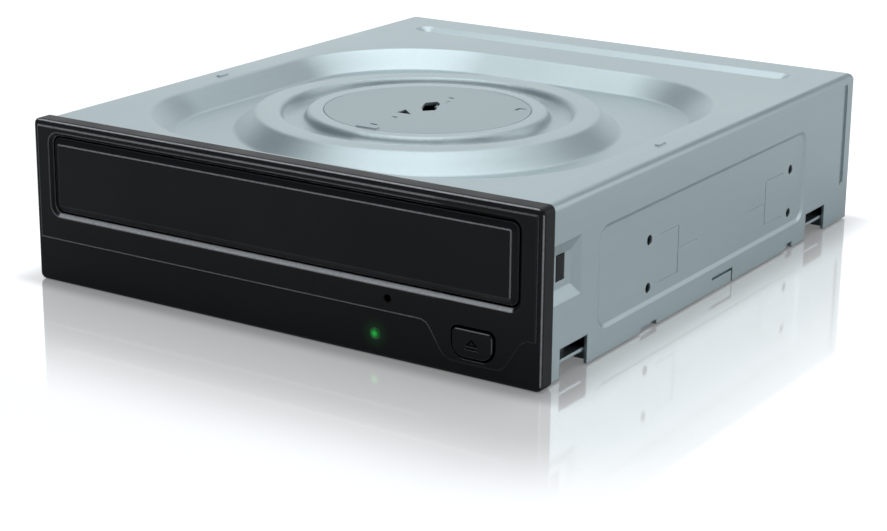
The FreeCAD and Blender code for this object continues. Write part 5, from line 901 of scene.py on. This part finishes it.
def screw_surface(length, settings):
    """Pan-head screw along Z: a domed head with a cross recess below, a threaded shank above.

    Head: h = -H (1 - 0.3 rho^2), lifted by the recess depth where the cross's arms run. Shank:
    the radius is R - d (1 + cos(2 pi z / p - t)) / 2, a thread of pitch p and depth d, tapering
    over the last turn.
    """
    t = np.linspace(0.0, 2.0 * np.pi, settings.sides, endpoint=False)[None, :]
    wide = np.ones_like(t)
    rho = HEAD_RINGS[:, None]
    x = np.abs(rho * np.cos(t))
    y = np.abs(rho * np.sin(t))
    arm = (np.clip((ARM_WIDTH - np.minimum(x, y)) / ARM_WIDTH_SLOPE, 0.0, 1.0)
           * np.clip((ARM_LENGTH - np.maximum(x, y)) / ARM_LENGTH_SLOPE, 0.0, 1.0))
    head_height = -HEAD_HEIGHT * (1.0 - HEAD_DOME * rho ** 2) * wide + settings.recess_depth * arm
    head_radius = HEAD_RADIUS * rho * wide
    rim_radius, rim_height = RIM.T[:, :, None] * wide
    rows = int(length / settings.thread_pitch * ROWS_IN_TURN)
    z = np.linspace(THREAD_START * length, length, rows)[:, None]
    wave = 0.5 * (1.0 + np.cos(2.0 * np.pi * z / settings.thread_pitch - t))
    last_turn = np.clip((length - z) / settings.thread_pitch, 0.0, 1.0)
    taper = last_turn * TIP_TAPER + (1.0 - TIP_TAPER)
    thread_radius = (SHANK_RADIUS - settings.thread_depth * wave) * taper
    return ring_surface(np.concatenate([head_radius, rim_radius, thread_radius]),
                        np.concatenate([head_height, rim_height, z * wide]))


def placed_screws(surface, places, downward):
    """Copies of a screw at the places; a downward one is turned half round X."""
    vertices, faces = surface
    turn = np.array([1.0, -1.0, -1.0]) if downward else np.ones(3)
    return join_surfaces([(vertices * turn + np.asarray(place), faces) for place in places])


def rectangle_places(node, z, inset):
    """The four places of a rectangular screw pattern inside a node's box."""
    low, high = span_of(node)
    return [(x, y, z) for x in (low[0] + inset, high[0] - inset)
            for y in (low[1] + inset, high[1] - inset)]


# The replaced node, the piece's name, how many places have a screw, and whether it points down
SCREW_SETS = (
    ("cover_screws", "casing_screws", 4, False),
    ("board_screws", "main_board_screws", 4, False),
    ("motor_screws", "loading_motor_screws", 2, True),
)


class DRIVE_OT_screws(Operator):
    """Cross-recess screws under the casing, on the loading motor and under the main board"""
    bl_idname = "drive.screws"
    bl_label = "Screws"

    def execute(self, context):
        settings = context.scene.drive_fasteners
        steel = plain_metal(settings, "screw_steel")
        for node, name, count, downward in SCREW_SETS:
            low, high = span_of(node)
            surface = screw_surface(high[2] - low[2] - HEAD_HEIGHT, settings)
            seat = high[2] - HEAD_HEIGHT if downward else low[2] + HEAD_HEIGHT
            places = rectangle_places(node, seat, HEAD_RADIUS)[:count]
            add_piece(name, placed_screws(surface, places, downward), "chassis",
                      steel, replaced=(node,))
        return {"FINISHED"}


# Loader

SHOULDER = 1.2 * MM
FLANGE_DROP = 1.0 * MM
FLANGE_SLOPE = 0.4 * MM
# Radius, and the drop from the can's top or the rise from its foot, in millimetres
COLLAR = ((3.2, 0.0), (3.0, 0.4), (1.2, 0.4), (1.1, 4.0))
BOSS = ((2.6, 0.3), (2.9, 0.0))


class DRIVE_OT_loader(Operator):
    """Tray, loader frame, gears, belt and motor"""
    bl_idname = "drive.loader"
    bl_label = "Loader"

    def execute(self, context):
        settings = context.scene.drive_mechanism
        plain_plastics(settings, "tray_plastic", "frame_plastic", "gear_acetal",
                       "belt_rubber")
        self.drawn_motor(plain_metal(settings, "motor_can"))
        return {"FINISHED"}

    def drawn_motor(self, can):
        """Loading motor: a drawn can, turned from a profile with round shoulders and a collar."""
        low, high = span_of("loader_motor")
        foot, top = low[2], high[2]
        radius = (high[0] - low[0]) / 2.0
        inner = radius - SHOULDER
        arc = np.linspace(0.0, np.pi / 2.0, 7)
        boss = [(r * MM, foot + rise * MM) for r, rise in BOSS] + [(inner, foot)]
        bend = np.stack([inner + SHOULDER * np.sin(arc), foot + SHOULDER - SHOULDER * np.cos(arc)],
                        axis=-1)
        flange = [(radius, top - FLANGE_DROP), (radius - FLANGE_SLOPE, top)]
        collar = [(r * MM, top - drop * MM) for r, drop in COLLAR]
        profile = np.concatenate([boss, bend, flange, collar])
        add_piece("loading_motor_can", turned_at("loader_motor", profile), "chassis",
                  can, replaced=("loader_motor",))


# Traverse and pickup

FREE_PLAY = 0.02 * MM
ROWS_IN_LEAD = 24
GROOVE_POWER = 4
GROOVE_DEPTH = 0.35 * MM


def thread_along_y(node, pitch, depth, sides=40):
    """Lead screw: R - d max(0, cos(2 pi y / p - t))^4, a rounded groove wound along Y.

    It is smaller than its node by a free play, so that it turns clear of its bearings.
    """
    low, high = span_of(node)
    middle = centre_of(node)
    radius = (high[0] - low[0]) / 2.0 - FREE_PLAY
    t = np.linspace(0.0, 2.0 * np.pi, sides, endpoint=False)[None, :]
    rows = int((high[1] - low[1]) / pitch * ROWS_IN_LEAD)
    along = np.linspace(low[1] + FREE_PLAY, high[1] - FREE_PLAY, rows)[:, None]
    groove = np.maximum(0.0, np.cos(2.0 * np.pi * along / pitch - t)) ** GROOVE_POWER
    vertices, faces = ring_surface(radius - depth * groove, along * np.ones_like(t))
    x, y, z = vertices.T
    return np.stack([y + middle[0], z, x + middle[2]], axis=-1), faces


class DRIVE_OT_traverse(Operator):
    """Traverse, rods, lead screw, sled motor and spindle"""
    bl_idname = "drive.traverse"
    bl_label = "Traverse"

    def execute(self, context):
        settings = context.scene.drive_mechanism
        casing = context.scene.drive_casing
        stamped = metal_finish("traverse_sheet", casing.steel, casing.steel_shade, roughness=0.4,
                               streaks=800.0, edge_radius=0.2 * MM)
        dress(stamped, "traverse_frame")
        polished = plain_metal(settings, "polished_steel")
        dress(polished, "guide_rods")
        wound = thread_along_y("lead_screw", settings.lead, GROOVE_DEPTH)
        add_piece("wound_lead_screw", wound, "sled_screw", polished,
                  replaced=("lead_screw",))
        dress(plain_metal(settings, "motor_steel"), "sled_motor", "spindle_motor", "clamper_yoke")
        dress(plain_metal(settings, "turned_alloy"), "turntable")
        dress(plain_metal(settings, "magnet_plating"), "hub_magnet")
        return {"FINISHED"}


# Shares of the lens's radius and height
LENS_RIM = np.array([(0.9, 0.0), (1.0, 0.1), (1.0, 0.3), (0.82, 0.35)])
DOME_RADIUS = 0.8
DOME_FOOT = 0.35


class DRIVE_OT_pickup(Operator):
    """Pickup body, lens actuator and lens"""
    bl_idname = "drive.pickup"
    bl_label = "Pickup"

    def execute(self, context):
        settings = context.scene.drive_mechanism
        dress(plain_metal(settings, "cast_alloy"), "pickup_body")
        plain_plastics(settings, "actuator_plastic")
        self.domed_lens()
        return {"FINISHED"}

    def domed_lens(self):
        """Objective lens: a turned rim, and over it a dome r = 0.8 R cos a, h = h0 + h1 sin a."""
        low, high = span_of("objective_lens")
        radius = (high[0] - low[0]) / 2.0
        tall = high[2] - low[2]
        arc = np.linspace(0.0, np.pi / 2.0, 12)[:-1]
        dome = np.stack([DOME_RADIUS * np.cos(arc), DOME_FOOT + (1.0 - DOME_FOOT) * np.sin(arc)],
                        axis=-1)
        profile = np.concatenate([LENS_RIM, dome]) * (radius, tall) + (0.0, low[2])
        add_piece("domed_lens", turned_at("objective_lens", profile), "pickup",
                  lens_finish("coated_lens"), replaced=("objective_lens",))


# Boards and connector, with places and sizes in millimetres

FILM, FILM_EDGE = (0.70, 0.72, 0.74), (0.82, 0.83, 0.84)
TIN, TIN_SHADE = (0.66, 0.67, 0.68), (0.58, 0.59, 0.60)
# Place across, place behind the board's front, side
CHIPS = ((-14.0, 22.0, 14.0), (12.0, 26.0, 9.8), (-34.0, 30.0, 7.0), (-40.0, 12.0, 8.4))
CHIP_CORNERS = 1.6
LEAD_HALF = 0.16
# Start and end outside the chip, low and high above the board: shoulder, post and foot
LEAD_BENDS = ((0.0, 0.45, 0.35, 0.55), (0.3, 0.5, 0.0, 0.55), (0.4, 1.0, 0.0, 0.18))
# Place across, place behind the board's front
CANS = ((46.0, 14.0), (46.0, 21.0), (-47.0, 24.0))
CAN_RADIUS = 2.5
# Shares of the can's radius and height
CAN_PROFILE = np.array([(0.8, 0.0), (0.98, 0.03), (1.0, 0.1), (1.0, 0.16), (0.9, 0.2),
                        (0.9, 0.24), (1.0, 0.28), (1.0, 0.93), (0.95, 0.98), (0.86, 1.0),
                        (0.78, 0.97), (0.5, 0.97)])


class DRIVE_OT_boards(Operator):
    """Circuit boards with chip leads, capacitors, sockets, switch and cable"""
    bl_idname = "drive.boards"
    bl_label = "Boards"

    def execute(self, context):
        settings = context.scene.drive_boards
        front = context.scene.drive_front
        board = board_finish("solder_mask", settings.mask, settings.copper)
        dress(board, "main_board", "front_board")
        plain_plastics(settings, "chip_resin", "socket_plastic")
        film = Plastic("cable_film", FILM, roughness=0.35, grain=600.0, edge_radius=0.05 * MM)
        # The film's edges are lightened by wear and by a painted highlight.
        film.rub_edges(FILM_EDGE)
        dress(film.material, "front_cable")
        diode = lit_finish("diode_resin", front.lit, front.glow, centre_of("status_led"),
                           reach=2.5 * MM)
        dress(diode, "status_led")
        tin = metal_finish("tinned_leads", TIN, TIN_SHADE, roughness=0.28, streaks=1500.0,
                           edge_radius=0.05 * MM)
        self.chip_leads(settings, tin)
        self.capacitors(tin)
        return {"FINISHED"}

    def chip_leads(self, settings, tin):
        """Gull-wing leads: rows of shoulder, post and foot along all four sides of each chip."""
        board_low, board_high = span_of("main_board")
        lows = []
        highs = []
        for across, behind, side in CHIPS:
            half = side / 2.0 * MM
            count = int((side - CHIP_CORNERS) * MM / settings.lead_pitch)
            row = (np.arange(count) - (count - 1) / 2.0) * settings.lead_pitch
            middle = (across * MM, board_low[1] + behind * MM)
            for axis, sign in ((0, 1.0), (0, -1.0), (1, 1.0), (1, -1.0)):
                other = 1 - axis
                for start, end, low, high in LEAD_BENDS:
                    near, far = sorted((sign * (half + start * MM), sign * (half + end * MM)))
                    for boxes, out, along, up in ((lows, near, -LEAD_HALF, low),
                                                  (highs, far, LEAD_HALF, high)):
                        corner = np.empty((count, 3))
                        corner[:, axis] = middle[axis] + out
                        corner[:, other] = middle[other] + row + along * MM
                        corner[:, 2] = board_high[2] + up * MM
                        boxes.append(corner)
        add_piece("chip_leads", box_row(np.concatenate(lows), np.concatenate(highs)), "chassis",
                  tin, smooth=False)

    def capacitors(self, tin):
        """Capacitor cans: a turned profile with a rolled neck and a pressed top."""
        low, high = span_of("board_capacitors")
        front = span_of("main_board")[0][1]
        scale = (CAN_RADIUS * MM, high[2] - low[2])
        vertices, faces = lathe(CAN_PROFILE * scale + (0.0, low[2]), sides=40)
        cans = [(vertices + (across * MM, front + behind * MM, 0.0), faces)
                for across, behind in CANS]
        add_piece("capacitor_cans", join_surfaces(cans), "chassis", tin,
                  replaced=("board_capacitors",))


CONTACT_PITCH = 1.27
POWER_CONTACTS, POWER_INSET = 14, 1.3
DATA_CONTACTS, DATA_INSET = 6, 0.7
CONTACT_HALF = 0.3
CONTACT_START, CONTACT_END = 0.2, 4.9
CONTACT_SUNK, CONTACT_PROUD = 0.05, 0.06


class DRIVE_OT_connector(Operator):
    """Rear connector shell, tongues and gold contacts"""
    bl_idname = "drive.connector"
    bl_label = "Connector"

    def execute(self, context):
        settings = context.scene.drive_boards
        plain_plastics(settings, "connector_plastic")
        gold = plain_metal(settings, "gold_contacts")
        self.contacts(gold)
        return {"FINISHED"}

    def contacts(self, gold):
        """Flat gold contacts in two rows of one pitch, let into the top of the tongues."""
        low, high = span_of("connector_tongues")
        pitch = CONTACT_PITCH * MM
        power = low[0] + POWER_INSET * MM + pitch * np.arange(POWER_CONTACTS)
        data = high[0] - DATA_INSET * MM - pitch * np.arange(DATA_CONTACTS)
        x = np.concatenate([power, data])
        foot = np.stack([x, np.full_like(x, low[1]), np.full_like(x, high[2])], axis=-1)
        lows = foot + np.array([-CONTACT_HALF, CONTACT_START, -CONTACT_SUNK]) * MM
        highs = foot + np.array([CONTACT_HALF, CONTACT_END, CONTACT_PROUD]) * MM
        add_piece("gold_contact_row", box_row(lows, highs), "chassis", gold,
                  smooth=False)


# Stage

FLOOR_HALF = 6.0
FLOOR_LEVEL = -0.05 * MM
MIRROR_FULL = 0.3
SKY_COLOUR = (0.82, 0.93, 1.0)
# Name, place, aim, width and depth in metres, and the setting that holds the power
LIGHTS = (
    ("overhead", (-0.2, 0.25, 1.5), (-0.2, 0.25, 0.0), (1.6, 2.1), "key"),
    ("beside", (0.65, 0.4, 0.25), (0.07, -0.02, 0.02), (0.6, 0.4), "side"),
    ("backdrop", (-0.85, 1.26, 0.46), (0.0, 0.0, 0.1), (2.4, 0.7), "backdrop"),
)


class DRIVE_OT_stage(Operator):
    """Pale floor, soft light and camera"""
    bl_idname = "drive.stage"
    bl_label = "Stage"

    def execute(self, context):
        settings = context.scene.drive_stage
        self.floor(settings)
        self.lights(context.scene, settings)
        self.camera(context.scene, settings)
        return {"FINISHED"}

    def floor_finish(self, settings):
        """Pale gloss that mirrors the drive near its outline, with a painted shadow there, as the
        camera sees it.
        """
        finish = Finish("floor_gloss", settings.floor_roughness)
        tree = finish.tree
        finish.feed("Specular IOR Level", 0.0)
        seen = tree.nodes.new("ShaderNodeLightPath").outputs["Is Camera Ray"]
        low, high = CAD_BOX
        outline = (max(-low[0], high[0]), max(-low[1], high[1]), 1.0)
        away = add_vector(tree, "ABSOLUTE", finish.place)
        away = add_vector(tree, "MAXIMUM", add_vector(tree, "SUBTRACT", away, outline),
                          (0.0, 0.0, 0.0))
        distance = add_vector(tree, "LENGTH", away)
        mirror = add_range(tree, distance, MIRROR_FULL * settings.mirror_reach,
                           settings.mirror_reach, settings.mirror, 0.0, kind="SMOOTHSTEP")
        finish.feed("Metallic", mirror)
        # Painted shadow: the floor darkens near the drive's outline, reaching further at the
        # sides.
        wider = (settings.contact_reach / settings.contact_side, 1.0, 1.0)
        nearness = add_vector(tree, "LENGTH", add_vector(tree, "MULTIPLY", away, wider))
        foot = add_range(tree, nearness, 0.0, settings.contact_reach, settings.contact, 0.0,
                         kind="SMOOTHSTEP")
        grain = finish.use(moulded_grain(), Scale=40.0)
        pale = finish.blend(grain["Tone"], settings.floor, lighter(settings.floor, 1.01))
        painted_shadow_colour = finish.blend(foot, pale, BLACK)
        finish.paint(finish.blend(seen, settings.bounce, painted_shadow_colour))
        # The floor's glow fades in the painted shadow too.
        glow = finish.blend(foot, WHITE, BLACK)
        finish.shine_out(finish.blend(seen, BLACK, glow), settings.floor_glow)
        return finish.material

    def floor(self, settings):
        """One wide level face, just below the drive."""
        mesh = bpy.data.meshes.new("floor")
        corners = [(-1.0, -1.0), (1.0, -1.0), (1.0, 1.0), (-1.0, 1.0)]
        mesh.from_pydata([(x * FLOOR_HALF, y * FLOOR_HALF, FLOOR_LEVEL) for x, y in corners], [],
                         [(0, 1, 2, 3)])
        mesh.materials.append(self.floor_finish(settings))
        floor = bpy.data.objects.new("floor", mesh)
        bpy.context.scene.collection.objects.link(floor)

    def lights(self, scene, settings):
        """A soft room and three wide lights, each turned to its aim."""
        world = bpy.data.worlds.new("soft_room")
        world.use_nodes = True
        sky = world.node_tree.nodes["Background"]
        sky.inputs["Color"].default_value = (*SKY_COLOUR, 1.0)
        sky.inputs["Strength"].default_value = settings.sky
        scene.world = world
        for name, place, aim, (width, depth), power in LIGHTS:
            lamp = bpy.data.lights.new(name, "AREA")
            lamp.shape = "RECTANGLE"
            lamp.size = width
            lamp.size_y = depth
            lamp.energy = getattr(settings, power)
            light = bpy.data.objects.new(name, lamp)
            light.location = place
            away = np.array(place) - np.array(aim)
            flat = math.hypot(away[0], away[1])
            light.rotation_euler = (math.atan2(flat, away[2]), 0.0,
                                    math.atan2(away[0], -away[1]))
            scene.collection.objects.link(light)

    def camera(self, scene, settings):
        """The camera that took the photograph, as fitted to the drive's known sizes."""
        lens = bpy.data.cameras.new("camera")
        lens.lens = settings.lens
        lens.sensor_width = 36.0
        lens.shift_x, lens.shift_y = settings.slide
        lens.clip_start = 0.01
        camera = bpy.data.objects.new("camera", lens)
        camera.location = settings.place
        camera.rotation_euler = settings.turn
        scene.collection.objects.link(camera)
        scene.camera = camera
        scene.view_settings.view_transform = "Standard"


# Panel and registration

PIECES = (DRIVE_OT_casing, DRIVE_OT_front, DRIVE_OT_screws, DRIVE_OT_loader, DRIVE_OT_traverse,
          DRIVE_OT_pickup, DRIVE_OT_boards, DRIVE_OT_connector, DRIVE_OT_stage)


class DRIVE_PT_panel(Panel):
    """Buttons for the drive's pieces, and their settings"""
    bl_idname = "DRIVE_PT_panel"
    bl_label = "DVD Writer"
    bl_space_type = "VIEW_3D"
    bl_region_type = "UI"
    bl_category = "Drive"

    def draw(self, context):
        for piece in PIECES:
            self.layout.operator(piece.bl_idname)
        for name, group in SETTINGS.items():
            box = self.layout.box()
            box.label(text=group.__doc__)
            for label in group.__annotations__:
                box.prop(getattr(context.scene, name), label)


def register():
    """Registers settings, operators and panel."""
    for group in SETTINGS.values():
        bpy.utils.register_class(group)
    for name, group in SETTINGS.items():
        setattr(bpy.types.Scene, name, PointerProperty(type=group))
    for piece in PIECES:
        bpy.utils.register_class(piece)
    bpy.utils.register_class(DRIVE_PT_panel)


def unregister():
    """Takes back what register did."""
    bpy.utils.unregister_class(DRIVE_PT_panel)
    for piece in reversed(PIECES):
        bpy.utils.unregister_class(piece)
    for name in SETTINGS:
        delattr(bpy.types.Scene, name)
    for group in SETTINGS.values():
        bpy.utils.unregister_class(group)


def main():
    """Clears Blender's own start scene and dresses the drive."""
    register()
    for item in list(bpy.data.objects):
        if item.name in ("Cube", "Light", "Camera"):
            bpy.data.objects.remove(item)
    bpy.ops.drive.casing()
    bpy.ops.drive.front()
    bpy.ops.drive.screws()
    bpy.ops.drive.loader()
    bpy.ops.drive.traverse()
    bpy.ops.drive.pickup()
    bpy.ops.drive.boards()
    bpy.ops.drive.connector()
    bpy.ops.drive.stage()


if __name__ == "__main__":
    main()
